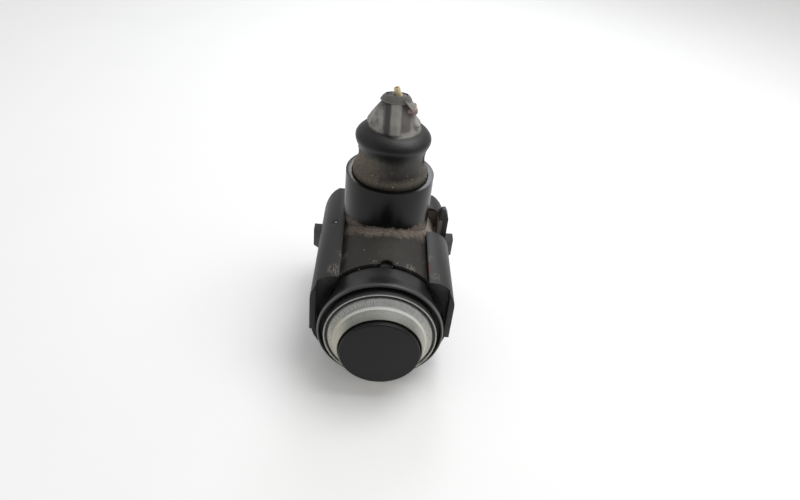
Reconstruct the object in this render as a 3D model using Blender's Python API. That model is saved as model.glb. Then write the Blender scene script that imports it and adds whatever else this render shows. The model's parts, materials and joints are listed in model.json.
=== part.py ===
"""Ultrasonic parking sensor with its harness plug, in metres.

The sensor lies on its underside. +Z is up, the membrane looks along -Y, and the connector
collar stands up from the rear half. The origin is under the middle of the box that holds it.
Depths are measured from the membrane's face towards the rear.
"""

import math

import bpy
import bmesh
from mathutils import Vector

# Clearances
FIT = 0.0002
HOLE_PLAY = 0.0002

# Body
BODY_LENGTH = 0.0435
BODY_WIDTH = 0.0282
BODY_FLARE = 0.0004
AXIS_HEIGHT = 0.0128
BODY_FRONT_DEPTH = 0.0125
WALL = 0.0014
FRONT_WALL = 0.0016
ARCH_RADIUS = 0.0127
BOTTOM_CORNER = 0.0076
REAR_CORNER = 0.0045
REAR_TOP_CORNER = 0.0008

# Rails along the top corners
RAIL_RISE = 0.0103
RAIL_INNER_X = 0.009
RAIL_CORNER = 0.0045
RAIL_FRONT_DEPTH = 0.0105

# Cheeks beside the nose
CHEEK_FRONT_DEPTH = 0.0087
CHEEK_DROP = 0.005
CHEEK_CHAMFER = 0.0024
CHEEK_THICKNESS = 0.0012
CHEEK_PLAY = 0.0004

# Side lugs, latch fin and the notch in the right rail
LUG_REACH = 0.016
LUG_FROM_REAR = 0.0125
LUG_LENGTH = 0.004
LUG_BOTTOM_RISE = 0.0008
LUG_HEIGHT = 0.0044
LUG_CHAMFER = 0.0016
NOTCH_FROM_REAR = 0.0155
NOTCH_LENGTH = 0.0093
FIN_FROM_REAR = 0.0098
FIN_LENGTH = 0.0035
FIN_X = 0.0122
FIN_THICKNESS = 0.0021
FIN_TOP_INSET = 0.0007
FIN_HEIGHT = 0.0064
FIN_SLOPE = 0.0016

# Keyway in the front edge of the arch
KEYWAY_X = 0.0003
KEYWAY_RADIUS = 0.0013
KEYWAY_CUT = 0.0009

# Nose ring
NOSE_FRONT_DEPTH = 0.0058
NOSE_RIM_RADIUS = 0.01276
NOSE_RIM_WIDTH = 0.0007
NOSE_RECESS_DEPTH = 0.001
NOSE_NECK_RADIUS = 0.0122
NOSE_GAP = 0.0005
NOSE_CORE_RADIUS = 0.0112
NOSE_WEB = 0.0008
TONGUE_RISE = 0.0078
TONGUE_FILLET = 0.0034
SPIGOT_RADIUS = 0.011
SPIGOT_LENGTH = 0.0034
SPIGOT_WALL = 0.0012

# Silicone ring
SILICONE_LIP_RADIUS = 0.0114
SILICONE_LIP_DEPTH = 0.0047
SILICONE_LIP_LENGTH = 0.0022
SILICONE_SEAT_RADIUS = 0.0103
SILICONE_REAR_DEPTH = 0.01
SILICONE_STEP_RADIUS = 0.0093
SILICONE_STEP_DEPTH = 0.0034
SILICONE_TIP_DEPTH = 0.001
SILICONE_TIP_WALL = 0.0003
GROOVE_WIDTH = 0.0005
GROOVE_CUT = 0.0005

# Membrane cup and what fills it
CUP_RADIUS = 0.008
CUP_FACE = 0.0008
CUP_WALL = 0.001
CUP_LENGTH = 0.009
CUP_EDGE = 0.0004
PIEZO_RADIUS = 0.005
PIEZO_THICKNESS = 0.0006
DAMPING_THICKNESS = 0.0025
LEAD_HOLE_RADIUS = 0.0016
CARRIER_THICKNESS = 0.0018
LEAD_RADIUS = 0.00025
LEAD_SPACING = 0.0014
LEAD_OVER_BOARD = 0.003

# Circuit board and cover
BOARD_THICKNESS = 0.0012
COVER_THICKNESS = 0.0012
COVER_LEDGE = 0.0006
COVER_LEDGE_HEIGHT = 0.0008
COVER_CORNER = 0.001

# Parts on the board. A share is measured from the board's front edge to the pins.
CHIP_X = -0.0045
CHIP_SHARE = 0.41
CHIP_WIDTH = 0.005
CHIP_LENGTH_SHARE = 0.35
CHIP_HEIGHT = 0.0015
SMALL_PART_X = 0.0085
SMALL_PART_WIDTH = 0.0016
SMALL_PART_LENGTH = 0.0009
SMALL_PART_HEIGHT = 0.0008
SMALL_PART_SHARE = 0.19
SMALL_PART_SHARE_STEP = 0.13
DRUM_X = 0.0035
DRUM_SHARE = 0.52
DRUM_RADIUS = 0.0031
DRUM_HEIGHT = 0.006
DRUM_FLANGE = 0.001
DRUM_NECK = 0.0014
CAN_X = -0.0035
CAN_SHARE = 0.78
CAN_RADIUS = 0.0019
CAN_HEIGHT = 0.0052

# Connector collar and pins
COLLAR_RADIUS = 0.0095
COLLAR_WALL = 0.0012
COLLAR_RIM_RISE = 0.0214
COLLAR_INSET = 0.0001
ROOF = 0.0012
PIN_WIDTH = 0.0006
PIN_PITCH = 0.00254
PIN_REACH = 0.0045

# Harness plug
PLUG_BASE_GAP = 0.0003
PLUG_TOP_BELOW_RIM = 0.003
TERMINAL_WIDTH = 0.0015
TERMINAL_TOP_LENGTH = 0.001
PLUG_NECK_WALL = 0.0011
PLUG_NECK_HEIGHT = 0.0025
SEAL_HEIGHT = 0.0016
SEAL_THICKNESS = 0.001
SEAL_RISE = 0.002
WIRE_RADIUS = 0.00065

# Rubber boot, heights above the collar's rim
BOOT_WALL = 0.0013
BOOT_FLARE_HEIGHT = 0.0016
BOOT_FLARE_INSET = 0.0001
BOOT_NECK_RADIUS = 0.007
BOOT_NECK_HEIGHT = 0.0048
BOOT_BULGE_RADIUS = 0.0079
BOOT_BULGE_HEIGHT = 0.0085
BOOT_SHOULDER_RADIUS = 0.0054
BOOT_SHOULDER_HEIGHT = 0.0118
BOOT_CORE_RADIUS = 0.0037
BOOT_CORE_RISE = 0.0011
BOOT_CAP_RADIUS = 0.0025
BOOT_CAP_HEIGHT = 0.0161
BOOT_TIP_RADIUS = 0.0017
BOOT_CAP_LENGTH = 0.0015
BOOT_TOP_FLATNESS = 0.8
WEB_THICKNESS = 0.0028
WEB_TOP_RADIUS = 0.0028
WEB_TOP_INSET = 0.0004
RIB_RADIUS = 0.0013
RIB_TOP_Y = 0.0012
SLEEVE_WALL = 0.0003
SLEEVE_BELOW_CAP = 0.0018
TAPE_THICKNESS = 0.0004
TAPE_END_LENGTH = 0.0004
TAPE_FLAP_X = 0.0044
TAPE_FLAP_DROP = 0.001
TAPE_FLAP_HALF = 0.0015

# Where the cut wires end, above the rim
YELLOW_STUB_LENGTH = 0.0016
SIDE_WIRE_X = 0.0031
SIDE_WIRE_EXIT_X = 0.0037
SIDE_WIRE_START_HEIGHT = 0.0095
SIDE_WIRE_BELOW_CAP = 0.0012
SIDE_WIRE_SPACING = 0.0021

# Facets of the round pieces
FINE_FACETS = 64
ROUND_FACETS = 40
SMALL_FACETS = 16
DRUM_FACETS = 24
SLEEVE_STEPS = 8
WIRE_STEPS = 12
CORNER_STEPS = 6
BOTTOM_STEPS = 8

# Places that follow from the sizes
HALF_WIDTH = BODY_WIDTH / 2
REAR_Y = BODY_LENGTH / 2
LUG_DEPTH = BODY_LENGTH - LUG_FROM_REAR
NOTCH_DEPTH = BODY_LENGTH - NOTCH_FROM_REAR
CAVITY_RADIUS = ARCH_RADIUS - WALL
CAVITY_FRONT_DEPTH = BODY_FRONT_DEPTH + FRONT_WALL
CAVITY_REAR_DEPTH = BODY_LENGTH - WALL
BOARD_TOP = AXIS_HEIGHT - LEAD_RADIUS - FIT
BOARD_BOTTOM = BOARD_TOP - BOARD_THICKNESS
SPIGOT_FRONT_DEPTH = BODY_FRONT_DEPTH - NOSE_GAP
SPIGOT_REAR_DEPTH = BODY_FRONT_DEPTH + SPIGOT_LENGTH
BOARD_FRONT_DEPTH = SPIGOT_REAR_DEPTH + FIT
COLLAR_Y = REAR_Y - COLLAR_RADIUS - COLLAR_INSET
COLLAR_DEPTH = BODY_LENGTH - COLLAR_RADIUS - COLLAR_INSET
BOARD_RUN = COLLAR_DEPTH - BOARD_FRONT_DEPTH
CHIP_LENGTH = CHIP_LENGTH_SHARE * BOARD_RUN
COLLAR_BORE = COLLAR_RADIUS - COLLAR_WALL
BOOT_CORE_HEIGHT = BOOT_SHOULDER_HEIGHT + BOOT_CORE_RISE
BOOT_TOP_HEIGHT = BOOT_CAP_HEIGHT + BOOT_CAP_LENGTH
SLEEVE_TOP_HEIGHT = BOOT_CAP_HEIGHT - SLEEVE_BELOW_CAP
SIDE_WIRE_END_HEIGHT = BOOT_CAP_HEIGHT - SIDE_WIRE_BELOW_CAP
YELLOW_STUB_HEIGHT = BOOT_TOP_HEIGHT + YELLOW_STUB_LENGTH
COLLAR_RIM = AXIS_HEIGHT + COLLAR_RIM_RISE
COLLAR_FLOOR = AXIS_HEIGHT + CAVITY_RADIUS + ROOF
CAVITY_FLOOR = COVER_THICKNESS + FIT + COVER_LEDGE_HEIGHT
COVER_HALF_WIDTH = HALF_WIDTH - BOTTOM_CORNER
LUG_BOTTOM = AXIS_HEIGHT + LUG_BOTTOM_RISE
LUG_TOP = LUG_BOTTOM + LUG_HEIGHT
LUG_REAR_DEPTH = LUG_DEPTH + LUG_LENGTH
RAIL_TOP = AXIS_HEIGHT + RAIL_RISE
MARGIN = 0.001


def depth_to_y(depth):
    return depth - BODY_LENGTH / 2


def clear_scene():
    for thing in list(bpy.data.objects):
        bpy.data.objects.remove(thing)


def plastic(name, colour, roughness, metallic=0.0):
    """A material with one colour, roughness and metallic value."""
    paint = bpy.data.materials.new(name)
    paint.use_nodes = True
    shader = paint.node_tree.nodes["Principled BSDF"]
    shader.inputs["Base Color"].default_value = (*colour, 1.0)
    shader.inputs["Roughness"].default_value = roughness
    shader.inputs["Metallic"].default_value = metallic
    return paint


def to_object(shape, name):
    """Turns a closed bmesh into an object with its faces pointing out."""
    bmesh.ops.recalc_face_normals(shape, faces=shape.faces)
    mesh = bpy.data.meshes.new(name)
    shape.to_mesh(mesh)
    shape.free()
    thing = bpy.data.objects.new(name, mesh)
    bpy.context.scene.collection.objects.link(thing)
    return thing


def place_on_nose(radius, angle, depth):
    across = radius * math.cos(angle)
    up = radius * math.sin(angle)
    return (across, depth_to_y(depth), AXIS_HEIGHT + up)


def place_on_collar(radius, angle, height):
    across = radius * math.cos(angle)
    back = radius * math.sin(angle)
    return (across, COLLAR_Y + back, height)


def turned(name, profile, facets, place):
    """Turns a closed outline of (radius, position) pairs. A radius of 0 is a pole."""
    shape = bmesh.new()
    rings = []
    for radius, position in profile:
        if radius == 0:
            rings.append([shape.verts.new(place(0, 0, position))])
            continue
        ring = []
        for step in range(facets):
            angle = 2 * math.pi * step / facets
            ring.append(shape.verts.new(place(radius, angle, position)))
        rings.append(ring)
    for ring, following in zip(rings, rings[1:] + rings[:1]):
        for step in range(facets):
            after = (step + 1) % facets
            if len(ring) == 1 and len(following) == 1:
                continue
            if len(ring) == 1:
                shape.faces.new((ring[0], following[step], following[after]))
            elif len(following) == 1:
                shape.faces.new((ring[after], ring[step], following[0]))
            else:
                shape.faces.new((ring[after], ring[step], following[step], following[after]))
    return to_object(shape, name)


def prism(name, outline, start, end, place, end_outline=None):
    """Extrudes a flat outline along the third axis, to a second outline where one is given."""
    shape = bmesh.new()
    near = [shape.verts.new(place(a, b, start)) for a, b in outline]
    far = [shape.verts.new(place(a, b, end)) for a, b in end_outline or outline]
    shape.faces.new(near)
    shape.faces.new(reversed(far))
    for step in range(len(outline)):
        after = (step + 1) % len(outline)
        shape.faces.new((near[after], near[step], far[step], far[after]))
    return to_object(shape, name)


def along_y(x, z, y):
    return (x, y, z)


def along_z(x, y, z):
    return (x, y, z)


def along_x(y, z, x):
    return (x, y, z)


def plan_outline(half, front, rear, corner):
    """Outline seen from above with rounded rear corners, as (x, y) pairs."""
    corner = max(corner, FIT)
    right = [(half, front)]
    right += arc((half - corner, rear - corner), corner, 0, 90, CORNER_STEPS)
    return right + mirrored(right)


def inset_plan(name, inset, front, z_range):
    """A flat block that follows the body's plan, the same distance inside it all round."""
    outline = plan_outline(HALF_WIDTH - inset, front, REAR_Y - inset, REAR_CORNER - inset)
    return prism(name, outline, z_range[0], z_range[1], along_z)


def inset_body(name, inset, front, z_range):
    """As inset_plan, and it follows the body's round lower corners as well."""
    block_inside = inset_plan(name, inset, front, z_range)
    right = arc((HALF_WIDTH - BOTTOM_CORNER, BOTTOM_CORNER), BOTTOM_CORNER - inset, -90, 0, BOTTOM_STEPS)
    right.append((HALF_WIDTH - inset, z_range[1] + MARGIN))
    section = prism("section", right + mirrored(right), front - MARGIN, REAR_Y, along_y)
    return combine(block_inside, section, 'INTERSECT')


def cover_plan(name, inset, front, z_range):
    """A flat block under the board's space, inset from the cover's seat."""
    rear = REAR_Y - WALL + COVER_LEDGE - inset
    outline = plan_outline(COVER_HALF_WIDTH - inset, front, rear, COVER_CORNER)
    return prism(name, outline, z_range[0], z_range[1], along_z)


def block(name, x_range, y_range, z_range):
    left, right = x_range
    front, rear = y_range
    outline = [(left, front), (right, front), (right, rear), (left, rear)]
    return prism(name, outline, z_range[0], z_range[1], along_z)


def combine(base, tool, operation):
    """Joins a tool to a base, or cuts it away, and keeps only the result."""
    change = base.modifiers.new("combine", 'BOOLEAN')
    change.operation = operation
    change.object = tool
    change.solver = 'EXACT'
    graph = bpy.context.evaluated_depsgraph_get()
    result = bpy.data.meshes.new_from_object(base.evaluated_get(graph))
    base.modifiers.clear()
    base.data = result
    bpy.data.objects.remove(tool)
    return base


def fuse(base, tool):
    return combine(base, tool, 'UNION')


def cut(base, tool):
    return combine(base, tool, 'DIFFERENCE')


def finish(thing, paint, smooth_angle=35):
    """Gives a finished piece its material and its shading."""
    thing.data.materials.clear()
    thing.data.materials.append(paint)
    thing.data.shade_smooth()
    thing.data.set_sharp_from_angle(angle=math.radians(smooth_angle))
    return thing


def arc(centre, radius, start, end, steps):
    """Points on an arc, angles in degrees."""
    points = []
    for step in range(steps + 1):
        angle = math.radians(start + (end - start) * step / steps)
        points.append((centre[0] + radius * math.cos(angle), centre[1] + radius * math.sin(angle)))
    return points


def mirrored(points):
    return [(-x, z) for x, z in reversed(points)]


# Housing

def body_outline(half_width):
    """Cross-section of the body: flat bottom, rounded rails and the arch between them."""
    corner = (half_width - BOTTOM_CORNER, BOTTOM_CORNER)
    right = arc(corner, BOTTOM_CORNER, -90, 0, BOTTOM_STEPS)
    rail_centre = (half_width - RAIL_CORNER, RAIL_TOP - RAIL_CORNER)
    right += arc(rail_centre, RAIL_CORNER, 0, 90, CORNER_STEPS + 2)
    right.append((RAIL_INNER_X, RAIL_TOP))
    edge = math.degrees(math.acos(RAIL_INNER_X / ARCH_RADIUS))
    arch = arc((0, AXIS_HEIGHT), ARCH_RADIUS, edge, 180 - edge, 20)
    return right + arch + mirrored(right)


def side_outline():
    """Side view of the body with the cheeks in front, as (y, z) pairs."""
    front = depth_to_y(CHEEK_FRONT_DEPTH)
    body_front = depth_to_y(BODY_FRONT_DEPTH)
    low = AXIS_HEIGHT - CHEEK_DROP
    high = AXIS_HEIGHT + ARCH_RADIUS + MARGIN
    return [
        (body_front, -MARGIN),
        (REAR_Y, -MARGIN),
        (REAR_Y, high),
        (body_front, high),
        (depth_to_y(RAIL_FRONT_DEPTH), RAIL_TOP),
        (front, RAIL_TOP - CHEEK_CHAMFER),
        (front, low + CHEEK_CHAMFER),
        (front + CHEEK_CHAMFER, low),
        (body_front, low),
    ]


def make_body():
    front = depth_to_y(CHEEK_FRONT_DEPTH)
    flared = body_outline(HALF_WIDTH + BODY_FLARE)
    body = prism("housing", flared, front - MARGIN, REAR_Y + MARGIN, along_y, body_outline(HALF_WIDTH))
    reach = HALF_WIDTH + BODY_FLARE + MARGIN
    sides = prism("sides", side_outline(), -reach, reach, along_x)
    combine(body, sides, 'INTERSECT')

    # The mouth clears the neck of the nose ring, and leaves the cheeks beside it.
    mouth_radius = ARCH_RADIUS + CHEEK_PLAY
    mouth = [(0, 0), (mouth_radius, 0), (mouth_radius, BODY_FRONT_DEPTH), (0, BODY_FRONT_DEPTH)]
    cut(body, turned("mouth", mouth, FINE_FACETS, place_on_nose))
    inner = HALF_WIDTH + BODY_FLARE - CHEEK_THICKNESS
    y_range = (front - MARGIN, depth_to_y(RAIL_FRONT_DEPTH))
    cut(body, block("between_cheeks", (-inner, inner), y_range, (0, RAIL_TOP + MARGIN)))
    return body


def round_rear(body):
    """Rounds the rear corners, so that each rail ends like a ball."""
    top = AXIS_HEIGHT + ARCH_RADIUS + MARGIN
    for side in (-1, 1):
        centre = (HALF_WIDTH - REAR_CORNER, REAR_Y - REAR_CORNER)
        outline = arc(centre, REAR_CORNER, 0, 90, CORNER_STEPS)
        outline.append((centre[0], REAR_Y + MARGIN))
        outline.append((HALF_WIDTH + MARGIN, REAR_Y + MARGIN))
        outline.append((HALF_WIDTH + MARGIN, centre[1]))
        outline = [(side * x, y) for x, y in outline]
        cut(body, prism("corner", outline, -MARGIN, top, along_z))
        centre = (REAR_Y - REAR_TOP_CORNER, RAIL_TOP - REAR_TOP_CORNER)
        outline = arc(centre, REAR_TOP_CORNER, 0, 90, CORNER_STEPS)
        outline.append((centre[0], top))
        outline.append((REAR_Y + MARGIN, top))
        outline.append((REAR_Y + MARGIN, centre[1]))
        start = side * RAIL_INNER_X
        cut(body, prism("rail_end", outline, start, side * (HALF_WIDTH + MARGIN), along_x))


def add_lugs(body):
    root = HALF_WIDTH - WALL / 2
    front = depth_to_y(LUG_DEPTH)
    rear = depth_to_y(LUG_REAR_DEPTH)
    for side in (-1, 1):
        outline = [
            (side * root, rear),
            (side * LUG_REACH, rear),
            (side * LUG_REACH, front + LUG_CHAMFER),
            (side * HALF_WIDTH, front),
            (side * root, front),
        ]
        fuse(body, prism("lug", outline, LUG_BOTTOM, LUG_TOP, along_z))


def cut_notch(body):
    """Takes the right rail away beside the latch, down to the arch and the lug."""
    right = HALF_WIDTH + MARGIN
    y_range = (depth_to_y(NOTCH_DEPTH), depth_to_y(NOTCH_DEPTH + NOTCH_LENGTH))
    notch = block("notch", (RAIL_INNER_X, right), y_range, (LUG_TOP, RAIL_TOP + MARGIN))
    reach = NOTCH_DEPTH - MARGIN, NOTCH_DEPTH + NOTCH_LENGTH + MARGIN
    arch = [(0, reach[0]), (ARCH_RADIUS, reach[0]), (ARCH_RADIUS, reach[1]), (0, reach[1])]
    cut(notch, turned("arch", arch, FINE_FACETS, place_on_nose))
    cut(body, notch)


def add_fin(body):
    """The latch fin: its front slopes back, and its sides lean in towards the top."""
    low = LUG_TOP - MARGIN
    waist = LUG_TOP + FIN_HEIGHT - FIN_SLOPE
    top = LUG_TOP + FIN_HEIGHT
    left = FIN_X
    right = FIN_X + FIN_THICKNESS
    front = REAR_Y - FIN_FROM_REAR
    rear = front + FIN_LENGTH
    outline = [
        (left, low),
        (right, low),
        (right, waist),
        (right - FIN_TOP_INSET, top),
        (left + FIN_TOP_INSET, top),
        (left, waist),
    ]
    fin = prism("fin", outline, front - MARGIN, rear + MARGIN, along_y)
    side = [
        (front, low - MARGIN),
        (rear, low - MARGIN),
        (rear, waist),
        (rear - FIN_SLOPE / 2, top + FIT),
        (front + FIN_SLOPE, top + FIT),
        (front, waist),
    ]
    combine(fin, prism("fin_side", side, left - MARGIN, right + MARGIN, along_x), 'INTERSECT')
    fuse(body, fin)


def add_collar(body):
    low = AXIS_HEIGHT + CAVITY_RADIUS / 2
    outline = [(0, low), (COLLAR_RADIUS, low), (COLLAR_RADIUS, COLLAR_RIM), (0, COLLAR_RIM)]
    fuse(body, turned("collar", outline, FINE_FACETS, place_on_collar))
    above = COLLAR_RIM + MARGIN
    bore = [(0, COLLAR_FLOOR), (COLLAR_BORE, COLLAR_FLOOR), (COLLAR_BORE, above), (0, above)]
    cut(body, turned("collar_bore", bore, FINE_FACETS, place_on_collar))


def hollow_body(body):
    """Cuts the board's space, the round space above it, the nose bore and the cover's seat."""
    front = depth_to_y(CAVITY_FRONT_DEPTH)
    cut(body, inset_body("board_space", WALL, front, (CAVITY_FLOOR, BOARD_TOP + FIT)))
    ends = CAVITY_FRONT_DEPTH, CAVITY_REAR_DEPTH
    space = [(0, ends[0]), (CAVITY_RADIUS, ends[0]), (CAVITY_RADIUS, ends[1]), (0, ends[1])]
    cut(body, turned("round_space", space, ROUND_FACETS, place_on_nose))
    bore = SPIGOT_RADIUS + FIT
    ends = BODY_FRONT_DEPTH - MARGIN, CAVITY_FRONT_DEPTH + MARGIN
    outline = [(0, ends[0]), (bore, ends[0]), (bore, ends[1]), (0, ends[1])]
    cut(body, turned("nose_bore", outline, FINE_FACETS, place_on_nose))
    opening = cover_plan("cover_opening", COVER_LEDGE, front, (-MARGIN, CAVITY_FLOOR + MARGIN))
    cut(body, opening)
    seat = cover_plan("cover_seat", 0, front - COVER_LEDGE, (-MARGIN, COVER_THICKNESS + FIT))
    cut(body, seat)


def cut_keyway(body):
    low = AXIS_HEIGHT + ARCH_RADIUS - KEYWAY_CUT
    high = AXIS_HEIGHT + ARCH_RADIUS + MARGIN
    centre = (KEYWAY_X, depth_to_y(BODY_FRONT_DEPTH))
    half_step = 180 / SMALL_FACETS
    outline = arc(centre, KEYWAY_RADIUS, half_step, 360 + half_step, SMALL_FACETS)[:-1]
    cut(body, prism("keyway", outline, low, high, along_z))


def pin_places():
    return [(number, (number - 2) * PIN_PITCH) for number in (1, 2, 3)]


def square_at(x, width):
    half = width / 2
    return (x - half, x + half), (COLLAR_Y - half, COLLAR_Y + half)


def cut_pin_holes(body):
    for _, x in pin_places():
        x_range, y_range = square_at(x, PIN_WIDTH + 2 * HOLE_PLAY)
        low = AXIS_HEIGHT + CAVITY_RADIUS / 2
        cut(body, block("pin_hole", x_range, y_range, (low, COLLAR_FLOOR + MARGIN)))


def make_housing(paint):
    body = make_body()
    cut_keyway(body)
    round_rear(body)
    add_lugs(body)
    cut_notch(body)
    add_fin(body)
    add_collar(body)
    hollow_body(body)
    cut_pin_holes(body)
    finish(body, paint)


# Sensor head

def side_recess(side, front_depth):
    """Cuts the neck away beside the nose and leaves a tongue above and below it."""
    front = depth_to_y(front_depth)
    rear = depth_to_y(SPIGOT_FRONT_DEPTH) + MARGIN
    fillet = TONGUE_FILLET
    low = AXIS_HEIGHT - TONGUE_RISE
    high = AXIS_HEIGHT + TONGUE_RISE
    outline = arc((front + fillet, low + fillet), fillet, 270, 180, CORNER_STEPS)
    outline += arc((front + fillet, high - fillet), fillet, 180, 90, CORNER_STEPS)
    outline += [(rear, high), (rear, low)]
    x_range = (side * SPIGOT_RADIUS / 2, side * (NOSE_RIM_RADIUS + MARGIN))
    recess = prism("recess", outline, x_range[0], x_range[1], along_x)
    far = BODY_FRONT_DEPTH + MARGIN
    core = [(0, 0), (NOSE_CORE_RADIUS, 0), (NOSE_CORE_RADIUS, far), (0, far)]
    return cut(recess, turned("core", core, FINE_FACETS, place_on_nose))


def make_nose_ring(paint):
    lip_bore = SILICONE_LIP_RADIUS + FIT
    seat_bore = SILICONE_SEAT_RADIUS + FIT
    rear_bore = SPIGOT_RADIUS - SPIGOT_WALL
    lip_end = SILICONE_LIP_DEPTH + SILICONE_LIP_LENGTH + FIT
    seat_end = SILICONE_REAR_DEPTH + FIT
    edge = NOSE_RIM_WIDTH / 2
    profile = [
        (lip_bore, NOSE_FRONT_DEPTH + NOSE_RECESS_DEPTH),
        (NOSE_RIM_RADIUS - 1.5 * edge, NOSE_FRONT_DEPTH),
        (NOSE_RIM_RADIUS - edge, NOSE_FRONT_DEPTH),
        (NOSE_RIM_RADIUS, NOSE_FRONT_DEPTH + edge),
        (NOSE_RIM_RADIUS, NOSE_FRONT_DEPTH + NOSE_RIM_WIDTH),
    ]
    # The rim sweeps into the neck along a hollow curve.
    rim_end = NOSE_FRONT_DEPTH + NOSE_RIM_WIDTH
    sweep = (SPIGOT_FRONT_DEPTH - rim_end) / 2
    drop = NOSE_RIM_RADIUS - NOSE_NECK_RADIUS
    for step in range(1, 5):
        share = step / 4
        profile.append((NOSE_RIM_RADIUS - drop * math.sin(share * math.pi / 2), rim_end + sweep * share))
    profile += [
        (NOSE_NECK_RADIUS, SPIGOT_FRONT_DEPTH),
        (SPIGOT_RADIUS, SPIGOT_FRONT_DEPTH),
        (SPIGOT_RADIUS, SPIGOT_REAR_DEPTH),
        (rear_bore, SPIGOT_REAR_DEPTH),
        (rear_bore, seat_end),
        (seat_bore, seat_end),
        (seat_bore, lip_end),
        (lip_bore, lip_end),
    ]
    ring = turned("nose_ring", profile, FINE_FACETS, place_on_nose)
    for side in (-1, 1):
        cut(ring, side_recess(side, lip_end + NOSE_WEB))
    finish(ring, paint)


def make_decoupling_ring(paint):
    """The soft ring: a collar hugging the cup, a cone, a groove and an outer lip."""
    bore = CUP_RADIUS + FIT
    tip = bore + SILICONE_TIP_WALL
    lip = SILICONE_LIP_RADIUS
    groove_outer = lip - GROOVE_WIDTH
    groove_inner = groove_outer - GROOVE_WIDTH
    lip_end = SILICONE_LIP_DEPTH + SILICONE_LIP_LENGTH
    bead = GROOVE_WIDTH / 2
    profile = [
        (bore, SILICONE_TIP_DEPTH),
        (tip, SILICONE_TIP_DEPTH),
        (SILICONE_STEP_RADIUS, SILICONE_STEP_DEPTH - bead),
        (SILICONE_STEP_RADIUS, SILICONE_STEP_DEPTH + bead),
        (groove_inner, SILICONE_LIP_DEPTH),
        (groove_inner, SILICONE_LIP_DEPTH + GROOVE_CUT),
        (groove_outer, SILICONE_LIP_DEPTH + GROOVE_CUT),
        (groove_outer, SILICONE_LIP_DEPTH),
        (groove_outer + bead, SILICONE_LIP_DEPTH - bead / 2),
        (lip, SILICONE_LIP_DEPTH + bead / 2),
        (lip, lip_end),
        (SILICONE_SEAT_RADIUS, lip_end),
        (SILICONE_SEAT_RADIUS, SILICONE_REAR_DEPTH),
        (bore, SILICONE_REAR_DEPTH),
    ]
    finish(turned("decoupling_ring", profile, FINE_FACETS, place_on_nose), paint)


def make_membrane_cup(paint):
    inner = CUP_RADIUS - CUP_WALL
    edge = [(CUP_RADIUS - CUP_EDGE + x, z) for x, z in arc((0, CUP_EDGE), CUP_EDGE, -90, 0, 4)]
    profile = [(0, 0)] + edge
    profile += [
        (CUP_RADIUS, CUP_LENGTH),
        (inner, CUP_LENGTH),
        (inner, CUP_FACE),
        (0, CUP_FACE),
    ]
    finish(turned("membrane_cup", profile, FINE_FACETS, place_on_nose), paint)


def disc_with_hole(name, radius, hole, start, end, paint):
    profile = [(hole, start), (radius, start), (radius, end), (hole, end)]
    finish(turned(name, profile, ROUND_FACETS, place_on_nose), paint)


def make_head_filling(ceramic, foam, pad, plastic_paint, copper):
    piezo_start = CUP_FACE + FIT
    piezo_end = piezo_start + PIEZO_THICKNESS
    profile = [(0, piezo_start), (PIEZO_RADIUS, piezo_start), (PIEZO_RADIUS, piezo_end), (0, piezo_end)]
    finish(turned("piezo_disc", profile, ROUND_FACETS, place_on_nose), ceramic)

    fill = CUP_RADIUS - CUP_WALL - FIT
    hole = LEAD_HOLE_RADIUS
    pad_start = piezo_end + FIT
    pad_end = pad_start + DAMPING_THICKNESS
    disc_with_hole("damping_pad", fill, hole, pad_start, pad_end, pad)
    disc_with_hole("foam_plug", fill, hole, pad_end + FIT, CUP_LENGTH, foam)

    carrier_start = SILICONE_REAR_DEPTH + FIT
    carrier_radius = SPIGOT_RADIUS - SPIGOT_WALL - FIT
    carrier_end = carrier_start + CARRIER_THICKNESS
    disc_with_hole("lead_carrier", carrier_radius, hole, carrier_start, carrier_end, plastic_paint)

    lead_end = BOARD_FRONT_DEPTH + LEAD_OVER_BOARD
    for name, side in (("signal_lead", -1), ("ground_lead", 1)):
        def place(radius, angle, depth):
            x, y, z = place_on_nose(radius, angle, depth)
            return (x + side * LEAD_SPACING / 2, y, z)
        start = piezo_end + FIT
        profile = [(0, start), (LEAD_RADIUS, start), (LEAD_RADIUS, lead_end), (0, lead_end)]
        finish(turned(name, profile, 12, place), copper)


# Electronics

PART_SEAT = BOARD_TOP + FIT


def make_board(paint):
    front = depth_to_y(BOARD_FRONT_DEPTH)
    finish(inset_plan("circuit_board", WALL + FIT, front, (BOARD_BOTTOM, BOARD_TOP)), paint)


def board_y(share):
    return depth_to_y(BOARD_FRONT_DEPTH + share * BOARD_RUN)


def chip(name, centre, size, paint):
    """A surface-mounted part standing on the board: centre is (x, share)."""
    x, share = centre
    width, length, height = size
    y = board_y(share)
    x_range = (x - width / 2, x + width / 2)
    y_range = (y - length / 2, y + length / 2)
    thing = block(name, x_range, y_range, (PART_SEAT, PART_SEAT + height))
    finish(thing, paint)


def place_on_board(centre):
    centre_x, share = centre

    def place(radius, angle, height):
        x = centre_x + radius * math.cos(angle)
        y = board_y(share) + radius * math.sin(angle)
        return (x, y, PART_SEAT + height)
    return place


def make_transformer(ferrite, copper):
    top = DRUM_HEIGHT
    profile = [
        (0, 0),
        (DRUM_RADIUS, 0),
        (DRUM_RADIUS, DRUM_FLANGE),
        (DRUM_NECK, DRUM_FLANGE),
        (DRUM_NECK, top - DRUM_FLANGE),
        (DRUM_RADIUS, top - DRUM_FLANGE),
        (DRUM_RADIUS, top),
        (0, top),
    ]
    place = place_on_board((DRUM_X, DRUM_SHARE))
    finish(turned("transformer_core", profile, DRUM_FACETS, place), ferrite)
    inner = DRUM_NECK + FIT
    outer = DRUM_RADIUS - FIT
    low = DRUM_FLANGE + FIT
    high = top - DRUM_FLANGE - FIT
    winding = [(inner, low), (outer, low), (outer, high), (inner, high)]
    finish(turned("transformer_winding", winding, DRUM_FACETS, place), copper)


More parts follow.
